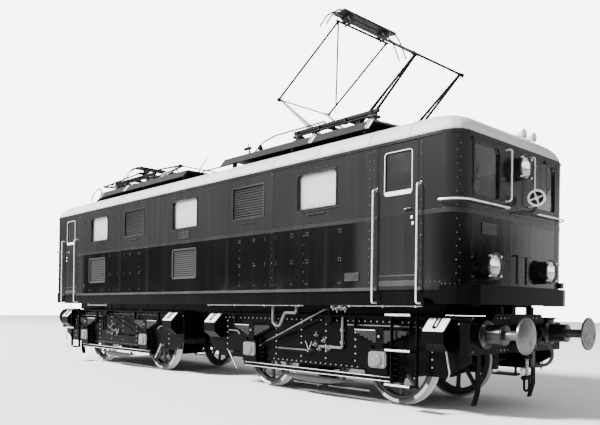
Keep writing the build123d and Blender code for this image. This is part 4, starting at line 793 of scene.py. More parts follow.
# %% Dress the solid nodes
FINISHES = (
    (sole_paint, "underframe"),
    (sunlit_side_paint, "side_wall_near side_wall_far"),
    (shaded_end_paint, "end_wall_front end_wall_rear"),
    (door_paint, "door_front_near door_front_far door_rear_near door_rear_far"),
    (moulding_paint, "body_mouldings"),
    (roof_paint, "roof_shell"),
    (deck_paint, "roof_walkways"),
    (ceramic, "roof_insulators"),
    (base_paint, "roof_fittings pantograph_bases"),
    (glass, "glazing"),
    (blind_cloth, "window_blinds"),
    (slat_paint, "louvre_grilles"),
    (rail_steel, "handrails"),
    (lamp_paint, "lamps"),
    (cab_paint, "cab_fittings"),
    (frame_paint, "machine_block wheelset_1 wheelset_2 wheelset_3 wheelset_4"),
)
END_FINISHES = (
    (frame_paint, "bogie_frame axleboxes drawgear motors"),
    (brake_paint, "brakes"),
    (rubber, "brake_hose"),
    (strip_metal, "pantograph_head"),
    (arm_paint, "pantograph_lower_outer pantograph_lower_inner"),
    (arm_paint, "pantograph_upper_outer pantograph_upper_inner"),
)


def dress(names, material, prefix=""):
    """Give solid nodes one material."""
    for name in names.split():
        slots = nodes[prefix + name].data.materials
        slots.clear()
        slots.append(material)


for material, names in FINISHES:
    dress(names, material)
for material, names in END_FINISHES:
    for end in BOGIES:
        dress(names, material, f"{end}_")
print("dressed nodes", len(nodes))

# %% [markdown]
# ## Hose ends
# Where a hose meets the tap and the rest, an iron ferrule grips it and tapers down to
# the rubber, so that the hose doesn't crack at its mouth. It is turned on a lathe: a
# few rows of height and radius. The rubber itself gets its finish here too.

# %% Hose ends
FERRULE = ((0.0, 0.031), (0.012, 0.033), (0.03, 0.033), (0.034, 0.028), (0.058, 0.0265), (0.064, 0.0245))

for end, (made, start, length) in hoses.items():
    made.data.materials.append(rubber)
    ferrules = Stock()
    for spot in (HOSE_ROUTE[0], HOSE_ROUTE[-1]):
        ferrules.lathe(facing(spot, FRONT), FERRULE, 24)
    grips = piece(f"{end}_hose_ferrules", ferrules, f"{end}_bogie", grey_paint, place=BOGIES[end])

# %% [markdown]
# ## Rivets of the body
# The sheets of the body are riveted to posts and rails behind them, so the rivets stand
# in straight columns by every joint, in rows along the floor and in small groups where
# brackets sit inside. Each head is a low dome. Thousands of them are cheap as one piece,
# and because they are real shapes they catch light from every side. Their paint is
# lighter than the sheets around them, which adds a painted highlight to each head.

# %% Rivets of the sides
SKIN = 0.003
WALL = (1.676, 3.612)
WINDOWS = (-3.645, 0.0, 3.645)
COLUMNS = (
    ((-4.8, -4.72, -2.62, 2.62, 4.72, 4.8), (1.74, 3.56, 0.118), SKIN),
    ((-5.6, 5.6), (1.74, 3.56, 0.155), 0),
    ((-3.38, -1.76, 1.76, 3.38), (1.8, 2.5, 0.14), 0),
)
GROUPS = (1.73, 1.77, 2.13, 2.17, 2.44, 2.72, 3.08, 3.12, 3.43, 3.47, 4.13, 4.17)


def run(first, last, pitch):
    """Evenly spaced values from first to last."""
    count = max(round(abs(last - first) / pitch), 1)
    return [first + (last - first) * step / count for step in range(count + 1)]


side_rivets = Stock()
for columns, heights, out in COLUMNS:
    for x in columns:
        for z in run(*heights):
            side_rivets.rivet(side_at(x, z, out))
for x in GROUPS:
    for z in (2.54, 2.5, 2.12, 2.08, 1.75):
        for side in (-1, 1):
            side_rivets.rivet(side_at(side * x + chance.uniform(-0.004, 0.004), z))
for centre in WINDOWS:
    for x in run(*span(centre, 0.46), 0.115):
        side_rivets.rivet(side_at(x, 3.515), 0.009)
# The rivet heads are painted lighter than the sheets around them: painted highlights.
fit_body("side_rivets", side_rivets, strip_paint)

# %% [markdown]
# ## Rivets of the cab
# The rounded corner of the cab is a separate bent sheet. Its joint with the front runs
# down the corner under two staggered columns of rivets. A point on the corner comes
# from its angle, and the same rule carries the lowest row round to the front.

# %% Rivets of the cab
CORNER = 0.23
CORNER_X, CORNER_Y = BODY_END - CORNER, CORNER - BODY_HALF
SHEET_STOPS = ((5.64, -BODY_HALF), (BODY_END, -1.15))
SHEET_INSIDE = 0.012


def corner_spot(angle, z, grow=0.0):
    """Place on the near front corner of the body, by its angle in degrees from the front."""
    out = Vector((math.cos(math.radians(angle)), -math.sin(math.radians(angle)), 0))
    return facing(Vector((CORNER_X, CORNER_Y, z)) + out * (CORNER + grow), out)


def corner_sheet(grow, low, high):
    """Bent sheet round the near front corner, its outside face at grow."""
    spots = [corner_spot(angle, 0).translation.xy for angle in range(90, -1, -3)]
    outer, inner = [], []
    for x, y in (SHEET_STOPS[0], *spots, SHEET_STOPS[1]):
        away = Vector((max(x - CORNER_X, 0), min(y - CORNER_Y, 0))).normalized()
        if y > CORNER_Y:
            away = Vector((1, 0))
        outer.append((x + away.x * grow, y + away.y * grow))
        inner.append((x - away.x * SHEET_INSIDE, y - away.y * SHEET_INSIDE))
    return Stock().prism(at(0, 0, low), outer + inner[::-1], high - low).repeat(ACROSS)


fit_body("corner_sheets", corner_sheet(SKIN, *WALL), half_lit_corner_paint, crease=25)
fit_body("corner_belts", corner_sheet(0.0095, 2.6105, 2.6645), moulding_paint, crease=25)

cab_rivets = Stock()
for number, z in enumerate(run(1.75, 3.56, 0.088)):
    cab_rivets.rivet(corner_spot(42 if number % 2 else 32, z, SKIN), 0.012)
for angle in (15, 30, 45, 60, 75, 88):
    cab_rivets.rivet(corner_spot(angle, 1.704), 0.012)
for x in run(5.62, 5.9, 0.07):
    cab_rivets.rivet(side_at(x, 1.735), 0.012)
cab_rivets.repeat(ACROSS)
for y in run(-1.2, 1.2, 0.075):
    cab_rivets.rivet(front_at(y, 1.712), 0.012)
for z in run(1.78, 2.86, 0.06):
    cab_rivets.rivet(front_at(-0.012, z), 0.011)
for z in (2.69, 2.585):
    for y in run(-1.15, 1.15, 0.11):
        cab_rivets.rivet(front_at(y, z), 0.01)
for side in (-1, 1):
    for z in run(2.84, 3.58, 0.082):
        for y in (1.185, 0.43):
            cab_rivets.rivet(front_at(side * y, z), 0.009)
# The rivet heads are painted lighter than the sheets around them: painted highlights.
fit_body("cab_rivets", cab_rivets, strip_paint)

# %% [markdown]
# ## Cover strips and small plates
# Narrow strips cover the joints between sheets. They stand only 3 mm proud, yet their
# edges draw the thin lines that make the side look built of sheets. The number plates
# of the real engine are left blank here.

# %% Cover strips and plates
STRIPS = (
    (-1.39, 0.02), (1.39, 0.02), (-2.62, 0.032), (2.62, 0.032),
    (-4.75, 0.095), (-5.6, 0.025), (4.75, 0.095), (5.6, 0.025),
)
JOINTS = (-4.872, -4.652, -2.655, -2.585, -1.412, -1.368, 1.368, 1.412, 2.585, 2.655, 4.652, 4.847, 5.572)
strips, joints, plates, end_plate = Stock(), Stock(), Stock(), Stock()


def plate(stock, place, size, corner, edge, depths):
    """Cast plate with a raised edge, blank."""
    inner = [length - 2 * edge for length in size]
    stock.prism(place, rounded(*size, corner), depths[0])
    stock.rim(place, rounded(*size, corner), rounded(*inner, corner - 0.004), depths[1])


for x, half in STRIPS:
    strips.on_side(span(x, half), SKIN, WALL)
for x in JOINTS:
    joints.on_side(span(x, 0.004), 0.0022, WALL)
for x, z, size in ((4.395, 1.834, (0.28, 0.118)), (0.0, 2.77, (0.38, 0.14))):
    plate(plates, side_at(x, z, SKIN), size, 0.012, 0.008, (0.005, 0.009))
    for across in (-1, 1):
        for up in (-1, 1):
            screw = at(across * (size[0] / 2 - 0.018), up * (size[1] / 2 - 0.018), 0.005)
            plates.rivet(side_at(x, z, SKIN) @ screw, 0.006)
plate(end_plate, front_at(-0.7275, 2.449), (0.375, 0.146), 0.014, 0.012, (0.008, 0.013))
fit_body("cover_strips", strips, sunlit_side_paint, 0.0015)
fit_body("sheet_joints", joints, black_paint)
fit_body("side_plates", plates, strip_paint, 0.001)
fit_body("end_plates", end_plate, strip_paint, 0.001)

# %% [markdown]
# ## Window furniture
# Each side window has a pressed sill and a long catch below it, and black strips along
# its top and its left side paint the shadow of its recess. The lower louvre has a drip
# ledge, and small hooks by the windows hold a ladder. They are thin bars bent at their
# ends, so a rounded path and a small radius make each of them.

# %% Window furniture
RECESS_SHADOW_HALF = 0.428
furniture, recess_shadows = Stock(), Stock()
for centre in (WINDOWS[0], WINDOWS[2]):
    ends = span(centre, 0.168)
    furniture.slab(ends, (-1.497, -1.476), (2.812, 2.83))
    for x in ends:
        furniture.on_side(span(x, 0.014), 0.019, (2.8, 2.842))
for centre in WINDOWS:
    furniture.on_side(span(centre, 0.47), 0.012, (2.868, 2.88))
    # Black strips along the top and left side of each window: painted shadow of its recess.
    recess_shadows.on_side(span(centre, RECESS_SHADOW_HALF), 0.014, (3.456, 3.476))
    recess_shadows.on_side(span(centre - RECESS_SHADOW_HALF, 0.008), 0.012, (3.3, 3.466))
for x in (1.98, -1.98):
    furniture.on_side(span(x, 0.18), 0.021, (2.818, 2.832))
for x in (-4.408, -2.933):
    hook = ((x, -BODY_HALF, 3.4), (x, -1.515, 3.4), (x, -1.515, 3.345), (x, -1.5, 3.345))
    furniture.rod(hook, 0.012, 0.006, 8, 3)
furniture.lathe(side_at(-4.43, 1.854), ((0, 0.034), (0.012, 0.034), (0.018, 0.026)), 20)
fit_body("window_furniture", furniture, lamp_paint, 0.0015)
fit_body("window_shadow_strips", recess_shadows, black_paint, 0.003)

# %% [markdown]
# ## Blinds
# White cotton blinds hang inside the windows of the machine room. Cloth that hangs from
# a rod falls into soft upright folds that get a little deeper towards the hem. A grid
# of points with a sum of two waves gives the folds, the width of the cloth is cut a
# little larger than the window, and a thickness of 0.6 mm makes it a sheet.

# %% Blinds
BLIND_Y = 1.4087
BLIND_TOP, BLIND_BOTTOM = 3.452, 2.91
BLIND_COLUMNS, BLIND_ROWS = 110, 14
CUT = {}


def blind(name, x, width, side):
    """Hanging cloth in one window, seen from both sides."""
    points, faces = [], []
    phase = chance.uniform(0, 6)
    for row in range(BLIND_ROWS + 1):
        fall = row / BLIND_ROWS
        height = BLIND_TOP + (BLIND_BOTTOM - BLIND_TOP) * fall
        for column in range(BLIND_COLUMNS + 1):
            along = column / BLIND_COLUMNS
            wave = math.sin(along * 57 + phase + 0.8 * fall) + 0.6 * math.sin(along * 31 + 2 * phase - fall)
            depth = 0.0013 * (0.45 + 0.75 * fall) * wave
            points.append(Vector((x + (along - 0.5) * width, side * (BLIND_Y + depth), height)))
    length = sum((after - here).length for here, after in zip(points, points[1 : BLIND_COLUMNS + 1]))
    for row in range(BLIND_ROWS):
        for column in range(BLIND_COLUMNS):
            first = row * (BLIND_COLUMNS + 1) + column
            quad = (first, first + 1, first + BLIND_COLUMNS + 2, first + BLIND_COLUMNS + 1)
            faces.append(quad if side > 0 else quad[::-1])
    made = piece(name, Stock().add(points, faces), "body", blind_cloth, ["window_blinds"], crease=80)
    cloth = made.modifiers.new("cloth", "SOLIDIFY")
    cloth.thickness = 0.0006
    flat = (round(length, 3), round(BLIND_TOP - BLIND_BOTTOM, 3))
    CUT[name] = flat


for number, (x, width) in enumerate(zip(WINDOWS, (0.824, 0.838, 0.824)), 1):
    blind(f"blind_near_{number}", x, width, -1)
    blind(f"blind_far_{number}", x, width, 1)
print("blinds", CUT)

# %% [markdown]
# ## Doors
# A bright metal frame lines each door window and is widest at its sill. A lever and two
# round escutcheons sit below it, and worn strips run along the foot. They are made once
# for the near front door and mirrored or turned to the other three.

# %% Door fittings
ESCUTCHEON = ((0, 0.02), (0.008, 0.02), (0.012, 0.014), (0.012, 0.006))
LEVER_X, LEVER_Z = 5.3405, 2.725
FOOT_HALF = 0.325
DOORS = {
    "door_front_near": Matrix(),
    "door_rear_near": MIRROR_ENDS,
    "door_rear_far": TURNED,
    "door_front_far": TURNED @ MIRROR_ENDS,
}
door_trim, escutcheons, foot = Stock(), Stock(), Stock()
opening = facing((DOOR_X, -1.47, 3.21), SIDE)
door_trim.rim(opening, rounded(0.476, 0.596, 0.05, 5), rounded(0.455, 0.575, 0.04, 5), 0.01)
door_trim.slab(span(DOOR_X, 0.222), (-1.478, -1.462), (2.922, 2.972))
for x, z in ((5.45, 2.593), (5.468, 2.512)):
    escutcheons.lathe(side_at(x, z), ESCUTCHEON, 20)
escutcheons.lathe(side_at(LEVER_X, LEVER_Z), ((0, 0.018), (0.006, 0.018), (0.01, 0.012)), 20)
lever = ((LEVER_X, -1.478, LEVER_Z), (LEVER_X, -1.5, LEVER_Z), (5.45, -1.5, 2.722))
escutcheons.tube(lever, 0.008, 10)
foot.on_side(span(DOOR_X, FOOT_HALF), 0.004, (1.822, 1.836))
foot.on_side(span(DOOR_X, FOOT_HALF), SKIN, (1.69, 1.76))
for name, place in DOORS.items():
    piece(f"{name}_window_frame", door_trim, name, white_paint, bevel=0.001, place=place)
    piece(f"{name}_escutcheons", escutcheons, name, rail_steel, place=place)
    piece(f"{name}_foot_strips", foot, name, ledge_paint, bevel=0.001, place=place)
print("doors", len(DOORS))

# %% [markdown]
# ## Headlamps
# A headlamp is a spun drum that widens to a rim, with a silvered bowl inside and a bulb
# at its focus. Its glass is already in the solid model. The drum, the bowl and the bulb
# are turned shapes, and four small clamps hold the rim.

# %% Headlamps
LAMP_SPOTS = ((-0.785, 1.952), (0.785, 1.952), (0.0, 3.35))
DRUM = (
    (0.104, 0.147), (0.036, 0.147), (0.03, 0.152), (0.0, 0.154), (0.01, 0.157), (0.1, 0.161),
    (0.112, 0.166), (0.116, 0.178), (0.122, 0.182), (0.134, 0.182), (0.14, 0.178), (0.14, 0.15),
    (0.134, 0.147),
)
BOWL = ((0.008, 0.02), (0.014, 0.052), (0.03, 0.086), (0.054, 0.116), (0.084, 0.138), (0.106, 0.1465))
BULB = (
    (0.01, 0.014), (0.03, 0.014), (0.036, 0.02), (0.052, 0.028), (0.068, 0.026), (0.078, 0.014),
    (0.081, 0.004),
)
CLAMP = ((0, 0), (0.026, 0), (0.026, 0.024), (0, 0.024))

drums, bowls, bulbs, clamps = Stock(), Stock(), Stock(), Stock()
for y, z in LAMP_SPOTS:
    mouth = front_at(y, z)
    drums.hoop(mouth, DRUM, 64)
    drums.lathe(mouth, ((0.0, 0.152), (0.004, 0.152)), 48)
    bowls.hoop(mouth, BOWL + tuple((height - 0.002, radius + 0.0005) for height, radius in BOWL[::-1]), 48)
    bulbs.lathe(mouth, BULB, 24)
    for spin in round_about(mouth, 4, 45):
        clamps.prism(spin @ at(0.166, -0.012, 0.112), CLAMP, 0.034)
        clamps.bolt(spin @ at(0.179, 0, 0.146), 0.009)
    drums.slab((BODY_END, BODY_END + 0.075), span(y, 0.04), (z - 0.178, z - 0.15))
fit_body("headlamp_drums", drums, lamp_paint, 0.0012, ["lamps"])
fit_body("headlamp_bowls", bowls, mirror_metal)
fit_body("headlamp_bulbs", bulbs, white_paint)
fit_body("headlamp_clamps", clamps, rail_steel, 0.001)

# %% [markdown]
# ## Ring lamp
# Beside the middle of each front stands a small lamp with a white ring and a dark
# centre crossed by bright ribs. It is turned towards the near side on a post that
# grows from a little shelf.

# %% Ring lamp
RING_X, RING_Y, RING_TURN = 6.35, 0.157, math.radians(60)
RING = (
    (0.0, 0.092), (0.0, 0.112), (0.008, 0.119), (0.016, 0.121), (0.024, 0.119), (0.03, 0.112),
    (0.032, 0.1), (0.03, 0.091),
)
SHELL = ((-0.07, 0.06), (-0.062, 0.086), (-0.04, 0.098), (0.002, 0.1))
RIB = ((-0.09, -0.01), (0.09, -0.01), (0.09, 0.01), (-0.09, 0.01))
POST = upright(RING_Y, (RING_X, 2.85), (RING_X, 2.765), (BODY_END, 2.765))

ring_at = facing((RING_X, RING_Y, 2.946), (math.cos(RING_TURN), -math.sin(RING_TURN), 0))
ring, shell, ribs, stand = Stock(), Stock(), Stock(), Stock()
ring.hoop(ring_at, RING, 64)
shell.lathe(ring_at, SHELL, 48, (True, False))
shell.lathe(ring_at, ((0.001, 0.098), (0.006, 0.094)), 48)
for spin in round_about(ring_at, 4, 20)[:2]:
    ribs.prism(spin @ at(0, 0, 0.006), RIB, 0.008)
ribs.lathe(ring_at @ at(0, 0, 0.006), ((0, 0.03), (0.012, 0.03), (0.018, 0.02)), 24)
stand.rod(POST, 0.05, 0.014, 12)
stand.slab((BODY_END, 6.26), (0.02, 0.42), (2.755, 2.767))
fit_body("ring_lamp_rings", ring, white_paint)
fit_body("ring_lamp_shells", shell, black_paint, 0.001)
fit_body("ring_lamp_ribs", ribs, rail_steel, 0.001)
fit_body("ring_lamp_stands", stand, lamp_paint, 0.001)

# %% [markdown]
# ## Handrails
# The crew holds on to bright rails beside each door, round the corners under the front
# windows and by the middle of the front. Each is a rod of 26 mm with rounded bends and
# a small foot plate where it enters the sheet.

# %% Handrails
GRIP = 0.013
RAIL_TOP, RAIL_FOOT, CORNER_RAIL = 3.02, 1.46, 2.77
RAIL_X = 0.3735
rails, feet = Stock(), Stock()
for x in (*span(DOOR_X, RAIL_X), *span(-DOOR_X, RAIL_X)):
    path = ((-BODY_HALF, RAIL_TOP), (-1.555, RAIL_TOP), (-1.555, RAIL_FOOT), (-1.455, RAIL_FOOT))
    rails.rod([(x, y, z) for y, z in path], 0.045, GRIP, 20, 6)
    seat = side_at(x, RAIL_TOP)
    feet.lathe(seat, ((0, 0.034), (0.006, 0.034), (0.01, 0.022)), 24)
    for up in span(0, 0.025):
        feet.bolt(seat @ at(0, up, 0.006), 0.006)
start = [(x, y, CORNER_RAIL) for x, y in ((5.905, -BODY_HALF), (5.905, -1.537), (5.95, -1.537))]
corner = [corner_spot(angle, CORNER_RAIL, 0.062).translation for angle in range(90, -1, -6)]
stop = [(x, y, CORNER_RAIL) for x, y in ((6.212, -0.4), (6.212, -0.3), (BODY_END, -0.3))]
path = bent(start, 0.014, 4)[:-1] + corner + bent(stop, 0.04, 4)
for side in (Matrix(), ACROSS):
    rails.tube(path, GRIP, 20, side)
for y in span(0, 0.32):
    path = upright(y, (BODY_END, 3.56), (6.238, 3.56), (6.238, 2.86), (BODY_END, 2.86))
    rails.rod(path, 0.045, GRIP, 20, 6)
fit_body("handrail_rods", rails, rail_steel, replaces=["handrails"])
fit_body("handrail_feet", feet, shaded_end_paint)

# %% [markdown]
# ## Wipers, brackets and window frames
# Each front window has a wiper driven from above and a narrow metal frame. Between the
# lower lamps a narrow shelf stands on two posts, and a bracket closes the far lower
# corner. All are small and thin: bars, rods, and a rim between two rounded outlines.

# %% Small fittings of the front
WIPERS = (
    (((-1.149, 2.97), (-1.04, 3.247)), -1.15, ((-1.149, 3.56), (-1.095, 3.12))),
    (((0.7, 2.95), (0.9, 3.23)), 0.8, ((0.8, 3.56), (0.8, 3.11))),
)
wipers, shelf, frames = Stock(), Stock(), Stock()
for blade, motor, arm in WIPERS:
    wipers.tube(((6.172, *blade[0]), (6.176, *blade[1])), 0.006, 8)
    wipers.slab((BODY_END, 6.18), span(motor, 0.025), (3.545, 3.59))
    wipers.tube(((6.168, *arm[0]), (6.178, *arm[1])), 0.0045, 8)
shelf.slab((BODY_END, 6.2), (-0.05, 0.36), (2.128, 2.15))
for y in (0.03, 0.28):
    shelf.slab((BODY_END, 6.166), span(y, 0.02), (1.745, 2.128))
    for z in (1.8, 1.92, 2.04):
        shelf.bolt(front_at(y, z, 0.016), 0.008)
shelf.prism(front_at(1.32, 1.766), rounded(0.09, 0.09, 0.01), 0.05)
for y in span(0, 0.805):
    outer, inner = rounded(0.676, 0.736, 0.09, 6), rounded(0.612, 0.672, 0.065, 6)
    frames.rim(front_at(y, 3.2), outer, inner, 0.008)
fit_body("wipers", wipers, lamp_paint)
fit_body("front_shelves", shelf, lamp_paint, 0.0015)
fit_body("front_window_frames", frames, black_paint, 0.0015)
print("front of the cab dressed")

# %% [markdown]
# ## Roof
# The roof is made of bent sheets whose joints run across it. To lay a seam on the curved
# roof, rays are sent down from above and the points where they meet the roof become the
# path of a thin strip. Two horns with white rims look out over each cab.

# %% Roof seams
SEAMS = (-5.39, -4.69, -3.65, -2.61, -1.4, -0.61, 0.61, 1.4, 2.61, 3.65, 4.69, 5.39)
SEAM_PROFILE = ((-0.018, -0.002), (-0.016, 0.004), (0.016, 0.004), (0.018, -0.002))
roof = nodes["roof_shell"].data
roof_tree = BVHTree.FromPolygons([v.co for v in roof.vertices], [p.vertices for p in roof.polygons])


def roof_line(x):
    """Points across the roof at one place along it, with heights from the rail."""
    line = []
    for step in range(-70, 71):
        y = 1.468 * math.sin(step / 70 * math.pi / 2)
        hit = roof_tree.ray_cast(Vector((x, y, 6)), Vector((0, 0, -1)))[0]
        if hit:
            line.append(Vector((x, y, hit.z - RAIL)))
    return line


seams = Stock()
for x in SEAMS:
    line = roof_line(x)
    points = []
    for number, spot in enumerate(line):
        before, after = line[max(number - 1, 0)], line[min(number + 1, len(line) - 1)]
        out = Vector((0, before.z - after.z, after.y - before.y)).normalized()
        points += [spot + out * rise + Vector((shift, 0, 0)) for shift, rise in SEAM_PROFILE]
    faces = ring_faces(len(line), 4) + [(3, 2, 1, 0), tuple(range(len(points) - 4, len(points)))]
    seams.add(points, [face[::-1] for face in faces])
piece("roof_seams", seams, "body", roof_paint)

# %% Horns
HORN = (
    (0.0, 0.018), (0.03, 0.026), (0.12, 0.03), (0.19, 0.042), (0.235, 0.058), (0.258, 0.068),
    (0.252, 0.062), (0.2, 0.04), (0.12, 0.02), (0.118, 0.002),
)
HORN_RIM = ((0.25, 0.066), (0.256, 0.073), (0.262, 0.073), (0.264, 0.066), (0.256, 0.06))
horn_bodies, horn_rims = Stock(), Stock()
for y in (0.35, 0.64):
    horn_at = facing((5.8, y, 3.935), FRONT)
    horn_bodies.lathe(horn_at, HORN, 40)
    horn_bodies.slab((5.86, 5.9), span(y, 0.014), (3.85, 3.925))
    horn_rims.hoop(horn_at, HORN_RIM, 48)
fit_body("horn_bodies", horn_bodies, white_paint, replaces=["roof_fittings"])
fit_body("horn_rims", horn_rims, white_paint)

# %% Roof rods and whistle
ROD_Y = -0.75
DECK = 4.205
BAR = upright(
    ROD_Y, (3.09, 4.45), (3.09, 4.49), (1.83, 4.49), (1.48, 4.43), (1.24, 4.29), (1.24, DECK)
)
CABLE = upright(-0.6, (-0.7, DECK), (-0.7, 4.235), (0.7, 4.235), (0.7, DECK))
STAY = upright(-0.66, (-0.72, DECK), (-0.72, 4.265), (-0.56, 4.385), (-0.43, 4.485))
STAND = ((0, 0.03), (0.012, 0.03), (0.016, 0.016), (0.17, 0.016))
WHISTLE = (
    (0, 0.022), (0.006, 0.028), (0.1, 0.028), (0.104, 0.02), (0.15, 0.02), (0.154, 0.027),
    (0.184, 0.027), (0.19, 0.016),
)
CAP = ((0, 0.012), (0.06, 0.012), (0.064, 0.02), (0.072, 0.02), (0.076, 0.008))
BELL = (
    (0, 0.034), (0.01, 0.034), (0.014, 0.02), (0.105, 0.02), (0.11, 0.054), (0.118, 0.054),
    (0.15, 0.046), (0.176, 0.034), (0.192, 0.02), (0.2, 0.01),
)
rods = Stock()
rods.rod(BAR, 0.04, 0.013, 16)
rods.rod(CABLE, 0.02, 0.013, 16)
rods.tube(STAY, 0.009, 12)
rods.lathe(at(1.075, ROD_Y, DECK), STAND, 24)
rods.lathe(facing((0.93, ROD_Y, 4.395), FRONT), WHISTLE, 28)
rods.lathe(at(1.04, ROD_Y, 4.415), CAP, 20)
rods.lathe(at(1.4, ROD_Y, DECK), BELL, 32)
piece("roof_rods", rods, "body", base_paint)

# %% Insulators
SHEDS = (
    (0.0, 0.06), (0.03, 0.06), (0.034, 0.05), (0.05, 0.05), (0.058, 0.07), (0.066, 0.092),
    (0.072, 0.094), (0.076, 0.088), (0.086, 0.06), (0.1, 0.05), (0.11, 0.052), (0.12, 0.084),
    (0.128, 0.108), (0.134, 0.11), (0.14, 0.104), (0.152, 0.07), (0.164, 0.054), (0.178, 0.052),
    (0.195, 0.052),
)
posts, caps = Stock(), Stock()
for y in span(0, 0.75):
    for centre in span(0, BOGIE_X):
        for x in span(centre, 0.85):
            posts.lathe(at(x, y, DECK), SHEDS, 40)
            caps.lathe(at(x, y, DECK), ((0, 0.072), (0.02, 0.072), (0.026, 0.062)), 28)
            caps.lathe(at(x, y, DECK + 0.176), ((0, 0.058), (0.019, 0.058)), 28)
piece("insulator_posts", posts, "body", ceramic, ["roof_insulators"])
piece("insulator_caps", caps, "body", base_paint, bevel=0.001)

# %% [markdown]
# ## Walkways
# The walkway boards stand on bright sheet brackets, and a curved rod helps a fitter up
# at the end. The brackets lie on the sloping side board, so their frame is turned to
# the slope.

# %% Walkway brackets
BOARD_SLOPE = Vector((0, -0.783, 0.621))
GRAB = (
    (-4.836, -1.12, 3.99), (-4.79, -1.12, 4.12), (-4.64, -1.11, 4.235), (-4.42, -1.1, 4.285),
    (-4.345, -1.1, 4.245), (-4.334, -1.1, 4.05),
)
brackets, grab = Stock(), Stock()
for x in (-4.34, -3.12, 3.12, 4.34):
    board = facing((x, -1.0575, 4.1325), BOARD_SLOPE)
    brackets.prism(board, rounded(0.062, 0.19, 0.006, 2), 0.008)
    brackets.prism(board @ at(-0.027, 0, 0.008), rounded(0.008, 0.19, 0.002, 2), 0.022)
    for up in span(0, 0.07):
        brackets.bolt(board @ at(0.006, up, 0.008), 0.009)
grab.rod(GRAB, 0.06, 0.013, 14, 6)
fit_body("walkway_brackets", brackets, white_paint, 0.001)
fit_body("roof_grab_rods", grab, arm_paint)
print("roof dressed")

# %% [markdown]
# ## Wheels
# A spoked wheel is a cast centre with a steel tyre shrunk on. The outer face of the tyre
# is painted in white and dark lengths, so that a tyre that slips on its centre shows at
# once. The tread is polished by the rail. Distance from the axle and the angle round
# it decide every tone. The paint turns with the wheel because the material follows the
# wheel's own points.

# %% Wheel finish
WHEEL_RADIUS = 0.61
AXLES = {"wheelset_1": -4.75, "wheelset_2": -1.85, "wheelset_3": 1.85, "wheelset_4": 4.75}


def wheel_steel(name, axle):
    made = named(name)
    along = made.x - axle
    up = made.z - (WHEEL_RADIUS + RAIL)
    radius = (along * along + up * up).math("SQRT", along * along + up * up)
    oil = made.noise(6.0, 5.0, 0.65).ramp(0.3, 0.75)
    colour = made.blend(grey(0.008), grey(0.035, 0.12), oil)
    face = radius.band(0.552, 0.603, 0.003) * abs(made.y).ramp(0.806, 0.81)
    lengths = made.node("ShaderNodeMath", {"operation": "ARCTAN2"}, {0: up, 1: along}) * 6.0
    white = lengths.math("SINE", lengths).ramp(-0.15, 0.15)
    worn = made.noise(14.0, 5.0, 0.7).ramp(0.2, 0.55)
    ring = made.blend(grey(0.05), grey(0.78, 0.01), white)
    colour = made.blend(colour, ring, face * (0.7 + 0.3 * worn))
    tread = radius.ramp(0.604, 0.607) * (1 - abs(made.y).ramp(0.802, 0.808))
    colour = made.blend(colour, grey(0.42, 0.01), tread)
    rough = 0.62 - 0.34 * tread + oil * 0.1
    return made.done(made.shader(colour, rough, made.relief(oil, 0.0008, 0.003)))


# %% Wheels
TYRE = (
    (0.68, 0.552), (0.68, 0.632), (0.684, 0.638), (0.694, 0.638), (0.702, 0.63), (0.712, 0.613),
    (0.722, 0.61), (0.8, 0.607), (0.811, 0.603), (0.815, 0.597), (0.815, 0.556), (0.811, 0.548),
    (0.684, 0.548),
)
RIM = ((0.7, 0.549), (0.7, 0.506), (0.706, 0.498), (0.79, 0.498), (0.796, 0.506), (0.796, 0.549))
HUB = (
    (0.64, 0.12), (0.64, 0.146), (0.648, 0.152), (0.73, 0.156), (0.812, 0.15), (0.828, 0.146),
    (0.835, 0.138), (0.835, 0.096), (0.83, 0.092),
)
AXLE = ((-0.66, 0.098), (-0.64, 0.09), (-0.48, 0.086), (0.48, 0.086), (0.64, 0.09), (0.66, 0.098))
STUB = (
    (0.65, 0.1), (0.815, 0.094), (0.822, 0.09), (0.85, 0.072), (0.9, 0.066), (0.915, 0.062),
    (1.262, 0.062),
)
SPOKE = (
    (0.12, 0.05, 0.04), (0.2, 0.04, 0.036), (0.42, 0.036, 0.03), (0.485, 0.042, 0.034),
    (0.505, 0.062, 0.04),
)
SPOKES = 10
SPOKE_SIDES = 12


def spoke_points():
    """Rings of points out from the hub: reach, half width and half thickness."""
    points = []
    inner, outer = SPOKE[0][0], SPOKE[-1][0]
    for reach, wide, thick in SPOKE:
        lean = 0.766 - 0.028 * (reach - inner) / (outer - inner)
        for corner in range(SPOKE_SIDES):
            angle = math.tau * corner / SPOKE_SIDES
            points.append((reach, wide * math.cos(angle), lean + thick * math.sin(angle)))
    return points


wheels = Stock()
spoke_tip = SPOKE_SIDES * (len(SPOKE) - 1)
spoke_faces = ring_faces(len(SPOKE), SPOKE_SIDES)
spoke_faces += [tuple(range(SPOKE_SIDES)), tuple(range(spoke_tip, spoke_tip + SPOKE_SIDES))]
for side in (Matrix(), ACROSS):
    middle = side @ facing((0, 0, WHEEL_RADIUS), OUTWARD)
    for rows, sides in ((TYRE, 96), (RIM, 96), (HUB, 48)):
        wheels.hoop(middle, rows, sides)
    wheels.lathe(middle, STUB, 32)
    for spin in round_about(middle, SPOKES, 180 / SPOKES):
        wheels.add(spoke_points(), spoke_faces, spin)
wheels.lathe(facing((0, 0, WHEEL_RADIUS), OUTWARD), AXLE, 32)
for name, axle in AXLES.items():
    piece(f"{name}_wheels", wheels, name, wheel_steel(f"{name} steel", axle), [name], place=at(axle, 0, 0))

# %% [markdown]
# ## Axleboxes
# An axlebox holds the bearing at each end of an axle. On the real engine it is a cast
# box with a rounded cover, bolted at its corners, and a round cap over the shaft's end.
# Above it sits a leaf spring: a stack of steel leaves, each shorter than the one above,
# held by a buckle and hung from two links. Under load the leaves lie flat. Points along
# each leaf keep the shading of its ends from spreading over the whole length.

